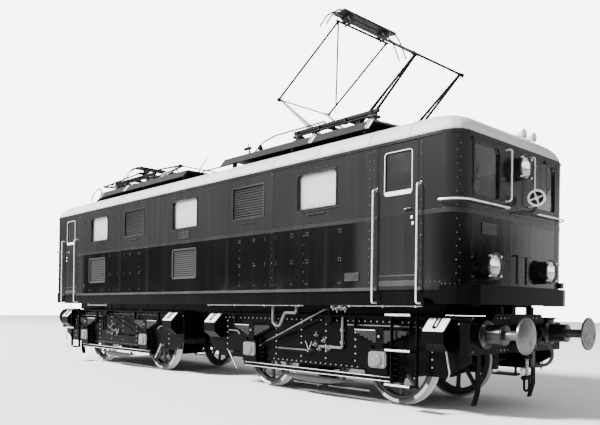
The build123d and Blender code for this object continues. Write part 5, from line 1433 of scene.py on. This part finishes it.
# %% Axleboxes and springs
AXLEBOXES = (-1.45, 1.45)
LEAVES, LEAF_PIECES = 6, 12
STACK_TOP, LEAF_HALF, LEAF_SHORTER = 1.075, 0.54, 0.08
LEAF_PITCH, LEAF_TOP, LEAF_BOTTOM = 0.03, -0.0003, -0.0294
BOX_CAP = ((0, 0.09), (0.014, 0.088), (0.02, 0.078), (0.022, 0.04))
boxes, covers, leaves, buckles, box_bolts = Stock(), Stock(), Stock(), Stock(), Stock()
for x in AXLEBOXES:
    boxes.prism(facing((x, -0.935, 0.62), SIDE), rounded(0.344, 0.36, 0.03, 4), 0.365)
    boxes.slab(span(x, 0.15), (-1.285, -0.96), (0.795, 0.812))
    cover = facing((x, -1.3, 0.66), SIDE)
    covers.prism(cover, rounded(0.33, 0.236, 0.06, 6), 0.016)
    covers.prism(cover @ at(0, 0, 0.016), rounded(0.296, 0.204, 0.052, 6), 0.01)
    covers.lathe(cover @ at(0, -0.01, 0.026), BOX_CAP, 40)
    for across in span(0, 0.128):
        for up in span(0, 0.086):
            box_bolts.bolt(cover @ at(across, up, 0.016), 0.015)
    for spin in round_about(cover @ at(0, -0.01, 0.046), 6):
        box_bolts.bolt(spin @ at(0.064, 0, 0), 0.008)
    for number in range(LEAVES):
        top = STACK_TOP - LEAF_PITCH * number
        half = LEAF_HALF - LEAF_SHORTER * number
        along = [half * (2 * step / LEAF_PIECES - 1) for step in range(LEAF_PIECES + 1)]
        outline = [(spot, top + LEAF_BOTTOM) for spot in along]
        outline += [(spot, top + LEAF_TOP) for spot in along[::-1]]
        leaves.prism(facing((x, -1.167, 0), SIDE), outline, 0.096)
    buckles.slab(span(x, 0.068), (-1.271, -1.161), (0.8, 1.097))
    buckles.slab(span(x, 0.08), (-1.277, -1.155), (0.86, 0.9))
    box_bolts.bolt(facing((x, -1.271, 0.985), SIDE), 0.02)
    for link in span(x, 0.51):
        buckles.slab(span(link, 0.014), (-1.239, -1.191), (1.04, 1.252))
        buckles.lathe(facing((link, -1.262, 1.058), SIDE), ((0, 0.03), (0.01, 0.03), (0.014, 0.02)), 20)
for stock in (boxes, covers, leaves, buckles, box_bolts):
    stock.repeat(ACROSS)
fit_bogies(
    ("axlebox_castings", boxes, frame_paint, 0.004, "axleboxes"),
    ("axlebox_covers", covers, cover_paint, 0.003, None),
    ("spring_leaves", leaves, leaf_paint, 0.002, None),
    ("spring_buckles", buckles, frame_paint, 0.003, None),
    ("axlebox_bolts", box_bolts, bolt_steel, 0.0, None),
)

# %% [markdown]
# ## Buffers and draw hook
# A buffer is a turned barrel with a sprung plunger and a broad head. One head of each
# pair is domed and the other flat. Between them a forged hook comes out of its plate
# and carries the screw coupling: a shackle, a threaded screw and a bow that hangs down.

# %% Buffers
START = 2.9
BUFFER_Z = 1.06
BUFFER_Y = 0.875
BARREL = (
    (0.0, 0.186), (0.02, 0.19), (0.03, 0.186), (0.04, 0.15), (0.052, 0.134), (0.262, 0.128),
    (0.268, 0.132), (0.285, 0.132), (0.288, 0.124), (0.288, 0.07),
)
PLUNGER = ((0.28, 0.062), (0.52, 0.062), (0.54, 0.07), (0.552, 0.1))
DOMED = (
    (0.552, 0.1), (0.545, 0.226), (0.551, 0.232), (0.572, 0.232), (0.582, 0.222), (0.592, 0.16),
    (0.599, 0.08), (0.6, 0.02),
)
FLAT = ((0.574, 0.1), (0.57, 0.226), (0.576, 0.232), (0.594, 0.232), (0.6, 0.224), (0.6, 0.02))


def on_headstock(y, z, out=0.0):
    """Place on the front of a bogie's headstock."""
    return facing((START + out, y, z), FRONT)


barrels, heads, buffer_bolts = Stock(), Stock(), Stock()
for y, head in ((-BUFFER_Y, DOMED), (BUFFER_Y, FLAT)):
    root = on_headstock(y, BUFFER_Z)
    barrels.lathe(root, BARREL, 48)
    heads.lathe(root, PLUNGER, 40)
    heads.lathe(root, head, 72)
    for spin in round_about(root, 4, 45):
        buffer_bolts.bolt(spin @ at(0.168, 0, 0.024), 0.018)

# %% Hook and coupling
HOOK = (
    (0.026, -0.045), (0.17, -0.045), (0.2, -0.066), (0.225, -0.085), (0.27, -0.08), (0.31, -0.06),
    (0.335, -0.028), (0.345, 0.01), (0.343, 0.052), (0.33, 0.085), (0.306, 0.088), (0.285, 0.075),
    (0.288, 0.04), (0.285, 0.01), (0.266, -0.01), (0.24, -0.015), (0.222, -0.002), (0.212, 0.026),
    (0.205, 0.045), (0.026, 0.045),
)
LINK_X, LINK_Y = START + 0.12, 0.07
PINS = ((0.022, 0.03, 0.1), (0.034, 0.32, 0.115), (0.032, 0.6, 0.11))
KNOB = ((0, 0.012), (0.01, 0.024), (0.03, 0.024), (0.04, 0.012))


def below(drop, x=0.0, y=0.0):
    """Place under the draw hook, in the line of the coupling's links."""
    return Vector((LINK_X + x, y, BUFFER_Z - drop))


hooks, links, threads = Stock(), Stock(), Stock()
hooks.prism(facing((START, 0.032, BUFFER_Z), SIDE), HOOK, 0.064)
hooks.slab((START, START + 0.026), span(0, 0.15), span(BUFFER_Z, 0.13))
for y in span(0, 0.11):
    for z in span(BUFFER_Z, 0.09):
        buffer_bolts.bolt(on_headstock(y, z, 0.026), 0.018)
for y in span(0, LINK_Y):
    links.slab(span(LINK_X, 0.024), span(y, 0.012), (BUFFER_Z - 0.33, BUFFER_Z - 0.02))
    for drop in (0.03, 0.32):
        links.lathe(facing(below(drop, 0, y - 0.016), OUTWARD), ((0, 0.036), (0.032, 0.036)), 28)
bow = (below(0.6, 0, -LINK_Y), below(0.782, 0, -LINK_Y), below(0.782, 0, LINK_Y), below(0.6, 0, LINK_Y))
links.rod(bow, 0.06, 0.017, 16, 8)
for radius, drop, half in PINS:
    worn_end = radius * 0.8
    rows = ((0, worn_end), (0.006, radius), (2 * half - 0.006, radius), (2 * half, worn_end))
    links.lathe(facing(below(drop, 0, -half), OUTWARD), rows, 28)
screw = [(0.0, 0.02)]
for number in range(18):
    base = 0.014 + 0.016 * number
    screw += [(base, 0.02), (base + 0.004, 0.026), (base + 0.009, 0.026), (base + 0.013, 0.02)]
threads.lathe(at(*below(0.62)), screw + [(0.316, 0.02)], 28)
threads.tube((below(0.455), below(0.475)), 0.036, 20)
threads.tube((below(0.465, 0, -0.02), below(0.48, 0.03, -0.19)), 0.01, 12)
threads.lathe(facing(below(0.48, 0.029, -0.186), (0.17, -0.98, -0.08)), KNOB, 20)

# %% Hose tap and rest
TAP_Y, TAP_Z, REST_Z = 0.45, 0.93, 0.6
TAP_HANDLE = ((START + 0.034, TAP_Y, 0.962), (START + 0.034, TAP_Y, 1.0), (START + 0.034, 0.38, 1.01))
REST = ((0.0, 0.027), (0.0, 0.036), (0.04, 0.036), (0.04, 0.027))
taps = Stock()
taps.slab((START, START + 0.02), span(TAP_Y, 0.045), (0.875, 0.985))
taps.lathe(on_headstock(TAP_Y, TAP_Z), ((0.018, 0.034), (0.05, 0.034), (0.06, 0.028)), 28)
taps.rod(TAP_HANDLE, 0.02, 0.008, 12)
taps.slab(span(START, 0.04), span(TAP_Y, 0.034), (0.566, 0.576))
taps.slab((START - 0.04, START - 0.01), span(TAP_Y, 0.034), (0.566, 0.8))
taps.hoop(on_headstock(TAP_Y, REST_Z, 0.02), REST, 28)
fit_bogies(
    ("buffer_barrels", barrels, buffer_paint, 0.001, "drawgear"),
    ("buffer_heads", heads, head_steel, 0.0, None),
    ("drawgear_bolts", buffer_bolts, bolt_steel, 0.0, None),
    ("draw_hook", hooks, frame_paint, 0.006, None),
    ("coupling_links", links, frame_paint, 0.002, None),
    ("coupling_screw", threads, bolt_steel, 0.0, None),
    ("hose_tap", taps, grey_paint, 0.002, None),
)

# %% [markdown]
# ## Trim of the bogies
# The bogie frame is a riveted plate girder. Rows of rivets run along its top and bottom
# flanges and down its stiffeners, their heads painted far lighter than the frame as
# painted highlights, and ribs hold the guides of the axleboxes. Bright strips lie on
# the step treads, where they stand for worn metal, and along the tie bar, and on the
# left half of each spring's top leaf they are a painted highlight of its lit edge. The
# lids of the sand boxes are painted white so that they can be found at night.

# %% Bogie rivets and ribs
FRAME_FACE = 1.16
bogie_rivets, guide_ribs, edges = Stock(), Stock(), Stock()


def on_frame(x, z, out=0.0):
    """Place on the near face of the bogie frame."""
    return facing((x, -FRAME_FACE - out, z), SIDE)


# The rivet heads are painted far lighter than the black frame: painted highlights.
for x in run(-2.8, 2.8, 0.115):
    bogie_rivets.rivet(on_frame(x, 1.195), 0.015)
for x in (-0.28, 0.28, -0.9, 0.9, -2.28, 2.28):
    for z in run(0.6, 1.13, 0.105):
        bogie_rivets.rivet(on_frame(x, z), 0.015)
for x in run(-0.95, 0.95, 0.115):
    bogie_rivets.rivet(on_frame(x, 0.51), 0.015)
for y in run(-1.18, 1.18, 0.1):
    clear_of_hook = abs(y) > 0.2
    clear_of_buffers = abs(abs(y) - BUFFER_Y) > 0.21
    clear_of_tap = abs(y - TAP_Y) > 0.06
    if clear_of_hook and clear_of_buffers and clear_of_tap:
        for z in (0.845, 1.275):
            bogie_rivets.rivet(on_headstock(y, z), 0.014)
for axle in AXLEBOXES:
    for side in (-1, 1):
        for z in (0.45, 0.53, 0.61, 0.69):
            guide_ribs.slab(span(axle + side * 0.2675, 0.0425), (-1.236, -FRAME_FACE), span(z, 0.006))
guide_ribs.slab((0.305, 0.375), (-1.178, -1.158), (1.12, 1.392))
for low in (0.356, 0.414):
    edges.slab(span(0, 1.64), (-1.2475, -1.238), (low, low + 0.009))
for z in (0.35, 0.82, 1.3):
    edges.slab(span(1.93, 0.212), (-1.482, -1.474), span(z, 0.013))
# A bright strip on the left half of each spring's top leaf: painted highlight of its lit edge.
for axle in AXLEBOXES:
    edges.slab((axle - 0.525, axle - 0.085), (-1.2655, -1.258), (1.067, 1.0775))

# %% Sand box lids
STRAP = ((-0.03, 0.118, 0.018), (-0.03, -0.06, 0.018), (0.03, -0.06, 0.018), (0.03, 0.118, 0.018))
LID_SLOPE = (0, -0.7071, 0.7071)
lids, straps = Stock(), Stock()
for x in (2.44, -2.55):
    lid = facing((x, -1.303, 1.173), LID_SLOPE)
    lids.prism(lid, rounded(0.33, 0.236, 0.02, 4), 0.014)
    straps.rod([lid @ Vector(spot) for spot in STRAP], 0.02, 0.01, 10)
    straps.lathe(lid @ at(0, -0.06, 0.012), ((0, 0.02), (0.02, 0.02), (0.028, 0.01)), 16)
    for hinge in span(x, 0.1):
        straps.slab(span(hinge, 0.014), (-1.24, -1.205), (1.238, 1.262))

# %% Rods, pipes and valves of the bogie
ROD_OUT = -1.255
BOGIE_VALVES = (
    (0.08, 0.8, 0.03), (0.17, 0.735, 0.024), (0.27, 0.87, 0.028), (0.36, 0.745, 0.026),
    (0.1, 0.95, 0.02),
)
AIR = (*upright(-1.19, (0.66, 1.252), (0.66, 0.78), (0.16, 0.78)), (0.16, -FRAME_FACE, 0.78))
LOW_Y, LOW_Z = -1.06, 0.165


def held(first, last, seat=-FRAME_FACE):
    """Path of a rod that leaves the frame, runs clear of it and comes back to a seat."""
    ends = ((first, -FRAME_FACE), (first, ROD_OUT), (last, ROD_OUT), (last, seat))
    return [(x, y, z) for (x, z), y in ends]


def valve(stock, place, size, depth, stem, sides):
    """Turned valve body with a narrower stem."""
    neck, tip = 0.6 * size, 0.3 * size
    rows = ((0, size), (depth, size), (depth + 0.006, neck), (stem, neck), (stem + 0.004, tip))
    stock.lathe(place, rows, sides)


pipes, levers, brake_rods = Stock(), Stock(), Stock()
pipes.rod(upright(-1.19, (-2.2, 0.96), (-1.95, 0.96), (-1.88, 0.9)), 0.05, 0.012, 10)
pipes.rod(upright(-1.17, (0.75, 1.135), (2.1, 1.135), (2.2, 1.05), (2.2, 0.86)), 0.04, 0.01, 10)
for x, z, size in BOGIE_VALVES:
    valve(pipes, on_frame(x, z), size, 0.04, 0.08, 18)
    pipes.tube(((x, -1.225, z), (x + 0.045, -1.24, z + 0.065)), 0.007, 8)
brake_rods.rod(held((-1.24, 0.724), (0.34, 1.364), -1.176), 0.012, 0.0125, 14, 3)
brake_rods.rod(held((-0.75, 0.712), (0.0, 0.712)), 0.012, 0.013, 14, 3)
brake_rods.rod(AIR, 0.02, 0.0215, 14, 4)
for x, z in ((0.66, 1.05), (0.66, 0.86), (0.42, 0.78)):
    brake_rods.lathe(on_frame(x, z, 0.005), ((0, 0.03), (0.05, 0.03), (0.054, 0.02)), 18)
for x in ((-0.55, 0.1), (0.25, 1.1)):
    brake_rods.longbar(x, LOW_Y, LOW_Z, 0.014, 10)
brake_rods.tube(upright(LOW_Y, (0.02, LOW_Z - 0.04), (0.02, LOW_Z + 0.035)), 0.012, 10)
levers.tube(upright(-1.25, (-2.11, 0.575), (-1.88, 0.29)), 0.014, 12)
levers.crossbar(-2.105, (-1.165, -1.262), 0.575, 0.022, 14)
for x in (-0.14, 0.0):
    levers.tube(upright(-1.2, (x, 0.85), (-0.06, 0.7)), 0.009, 10)
levers.crossbar(-0.06, (-1.18, -1.23), 0.7, 0.02, 14)
levers.tube(upright(-1.262, (2.56, 0.87), (2.62, 0.56), (2.6, 0.47)), 0.012, 10)
for stock in (bogie_rivets, guide_ribs, edges, lids, straps, pipes, levers):
    stock.repeat(ACROSS)
fit_bogies(
    ("bogie_rivets", bogie_rivets, rivet_highlight_paint, 0.0, None),
    ("guide_ribs", guide_ribs, frame_paint, 0.001, None),
    ("worn_and_highlight_strips", edges, rail_steel, 0.001, None),
    ("sand_lids", lids, white_paint, 0.003, None),
    ("sand_straps", straps, frame_paint, 0.0, None),
    ("bogie_pipes", pipes, rod_paint, 0.0, None),
    ("brake_rods", brake_rods, rod_paint, 0.0, None),
    ("bogie_levers", levers, bolt_steel, 0.0, None),
)

# %% [markdown]
# ## Pipes below the floor
# Air and cable pipes run under the sole bar. They are bright where they are rubbed and
# joined by small valves. Each pipe is a rod along a bent path, and the valves are
# turned bodies with a handle. Two trunks close the view between the bogies.

# %% Pipes and valves of the body
PIPE_Y = -1.43
NEAR_PIPE_Z, REAR_PIPE_Z = 1.42, 1.392
PIPE_RUNS = ((0.75, 3.34, NEAR_PIPE_Z), (4.27, 5.6, NEAR_PIPE_Z), (-4.29, -3.3, REAR_PIPE_Z))
CLIPS = (0.8, 1.6, 2.4, 3.25, 4.32, 4.95, 5.5, -4.25, -3.35)
FLOOR_VALVES = ((3.97, 1.4, 0.034), (4.05, 1.372, 0.026), (4.13, 1.404, 0.038), (4.21, 1.376, 0.028))
DIP = upright(
    -1.34, (2.51, 1.446), (2.51, 1.14), (2.58, 1.08), (2.68, 1.08), (2.81, 1.3), (3.08, 1.3), (3.08, 1.43)
)
TRUNK_Y, TRUNK_Z = -0.96, (1.288, 1.471)
lines, valves, trunks = Stock(), Stock(), Stock()
for first, last, height in PIPE_RUNS:
    lines.longbar((first, last), PIPE_Y, height, 0.009)
for x in CLIPS:
    height = REAR_PIPE_Z if x < 0 else NEAR_PIPE_Z
    lines.slab(span(x, 0.012), span(PIPE_Y, 0.016), (height - 0.02, 1.48))
for x, z, size in FLOOR_VALVES:
    valve(valves, facing((x, -1.392, z), SIDE), size, 0.03, 0.056, 20)
    valves.tube(((x, -1.42, z), (x + 0.03, -1.44, z - 0.055)), 0.006, 8)
valves.slab((3.93, 4.25), (-1.42, -1.392), (1.425, 1.47))
valves.rod(DIP, 0.02, 0.024, 14, 4)
trunks.slab(span(0, 5.6), span(TRUNK_Y, 0.06), TRUNK_Z)
for x in run(-5.5, 5.5, 0.55):
    trunks.slab(span(x, 0.015), span(TRUNK_Y, 0.066), TRUNK_Z)
fit_body("cable_trunks", trunks, frame_paint, 0.002)
fit_body("floor_pipes", lines, bolt_steel)
fit_body("floor_valves", valves, rod_paint)

# %% [markdown]
# ## Pantograph arms
# A light frame of tapered tubes carries each collector: twin tubes with rungs below,
# single tubes with one diagonal above. The solids stand for them with four-sided bars.
# Here each tube is turned as a long cone, thick at its foot, so that it catches light
# on its upper side and stays dark below, and collars cover its welded ends. The pieces
# keep the axes of the solids that they replace, because the joints turn about them.

# %% Pantograph arms
PIVOT_X, PIVOT_Z = 0.5, 4.34
LOWER_LENGTH, UPPER_LENGTH, APEX_X = 1.31, 1.755, 0.05
ARM_SIDE, FOOT_SPREAD, TOP_SPREAD, KNEE_OUT = 0.587, 0.065, 0.012, 0.667
ARM_ANGLES = {"front": 39.5, "rear": 6.1}
RUNGS = (0.1, 0.26, 0.42, 0.58, 0.74)


def cone(stock, foot, top, radii, sides=12):
    """Tapered tube between two places."""
    foot, top = Vector(foot), Vector(top)
    return stock.lathe(facing(foot, top - foot), ((0, radii[0]), ((top - foot).length, radii[1])), sides)


def lower_frame(knee_x, knee_z):
    """Pair of twin tubes with rungs, from the pivot to the knee."""
    made = Stock()
    made.crossbar(PIVOT_X, span(0, 0.672), PIVOT_Z, 0.034)
    made.crossbar(PIVOT_X, span(0, 0.72), PIVOT_Z, 0.018)
    made.crossbar(knee_x, span(0, KNEE_OUT), knee_z, 0.012)
    foot, top = Vector((PIVOT_X, 0, PIVOT_Z)), Vector((knee_x, 0, knee_z))
    for side in (-1, 1):
        for edge in (-1, 1):
            low = foot + Vector((0, side * (ARM_SIDE + edge * FOOT_SPREAD), 0))
            high = top + Vector((0, side * (ARM_SIDE + edge * TOP_SPREAD), 0))
            cone(made, low, high, (0.026, 0.015))
            cone(made, low, low.lerp(high, 0.05), (0.032, 0.029))
        for share in RUNGS:
            spot = foot.lerp(top, share)
            reach = FOOT_SPREAD + share * (TOP_SPREAD - FOOT_SPREAD)
            made.crossbar(spot.x, span(side * ARM_SIDE, reach), spot.z, 0.007, 8)
        collar = sorted((side * (ARM_SIDE - 0.03), side * (ARM_SIDE + 0.034)))
        made.crossbar(knee_x, collar, knee_z, 0.024)
    return made


def upper_frame(knee_x, knee_z, top_x, top_z):
    """Pair of single tubes with one diagonal, from the knee to the head."""
    made = Stock()
    near = KNEE_OUT - 0.042
    made.crossbar(top_x, span(0, KNEE_OUT), top_z, 0.018)
    ends = []
    for side in (-1, 1):
        made.crossbar(knee_x, sorted((side * near, side * KNEE_OUT)), knee_z, 0.03)
        low, high = Vector((knee_x, side * (near + 0.021), knee_z)), Vector((top_x, side * near, top_z))
        cone(made, low, high, (0.019, 0.0165))
        cone(made, high.lerp(low, 0.035), high, (0.021, 0.023))
        ends.append((low, high))
    (_, brace_top), (low, high) = ends
    cone(made, low.lerp(high, 0.14), brace_top, (0.0135, 0.0135))
    return made


for end, angle in ARM_ANGLES.items():
    turned_up = math.radians(angle)
    knee_x = PIVOT_X + LOWER_LENGTH * math.cos(turned_up)
    knee_z = PIVOT_Z + LOWER_LENGTH * math.sin(turned_up)
    top_z = knee_z + math.sqrt(UPPER_LENGTH**2 - (knee_x - APEX_X) ** 2)
    lower, upper = lower_frame(knee_x, knee_z), upper_frame(knee_x, knee_z, APEX_X, top_z)
    for way, place in (("outer", BOGIES[end]), ("inner", BOGIES[end] @ MIRROR_ENDS)):
        for level, stock in (("lower", lower), ("upper", upper)):
            body = f"{end}_pantograph_{level}_{way}"
            # The lower inner tubes take the pale copy of the arm paint: painted sunlight on the arms that
            # face the light.
            finish = sunlit_arm_paint if body.endswith("lower_inner") else arm_paint
            piece(f"{body}_tubes", stock, body, finish, [body], place=place)

# %% [markdown]
# ## Pantograph fittings
# Springs along the base raise the arms, and a rod on hangers runs along each side of
# it. A spring is a rod wound along a line, made here from the points of a helix.

# %% Pantograph springs
SPRING_Z, SIDE_ROD_Z, SIDE_ROD_Y = 4.372, 4.35, 0.8
COIL_STEPS = 10


def coil(start, stop, radius, turns):
    """Points of a helix between two places."""
    start, stop = Vector(start), Vector(stop)
    along = stop - start
    side = along.orthogonal().normalized()
    other = along.normalized().cross(side)
    count = turns * COIL_STEPS
    points = []
    for step in range(count + 1):
        angle = math.tau * turns * step / count
        out = math.cos(angle) * side + math.sin(angle) * other
        points.append(start + along * step / count + radius * out)
    return points


springs, spring_rods = Stock(), Stock()
for centre in span(0, BOGIE_X):
    for y in span(0, 0.3):
        ends = [(x, y, SPRING_Z) for x in span(centre, 0.3)]
        springs.tube(coil(*ends, 0.03, 22), 0.0055, 6)
        spring_rods.longbar(span(centre, 0.48), y, SPRING_Z, 0.01)
    for side in (-1, 1):
        y = side * SIDE_ROD_Y
        spring_rods.longbar(span(centre, 0.88), y, SIDE_ROD_Z, 0.02, 14)
        for x in (centre - 0.84, centre - 0.3, centre + 0.3, centre + 0.84):
            spring_rods.longbar(span(x, 0.03), y, SIDE_ROD_Z, 0.03, 14)
            hanger = sorted((side * 0.773, side * 0.812))
            spring_rods.slab(span(x, 0.012), hanger, (SIDE_ROD_Z, SIDE_ROD_Z + 0.08))
piece("pantograph_springs", springs, "body", bolt_steel)
piece("pantograph_spring_rods", spring_rods, "body", base_paint)
print("running gear and pantographs dressed")

# %% [markdown]
# ## Floor
# A plain pale floor carries the shadow. It is stage, not part of the object.

# %% Floor
bpy.ops.mesh.primitive_plane_add(size=160, location=(0, 0, -0.002))
floor = bpy.context.object
floor.name = "floor"
concrete = Recipe(bpy.data.materials.new("pale floor"))
floor_tone = concrete.blend(grey(0.86), grey(0.9), concrete.noise(0.5))
floor.data.materials.append(concrete.done(concrete.shader(floor_tone, 0.9)))
print("floor laid")
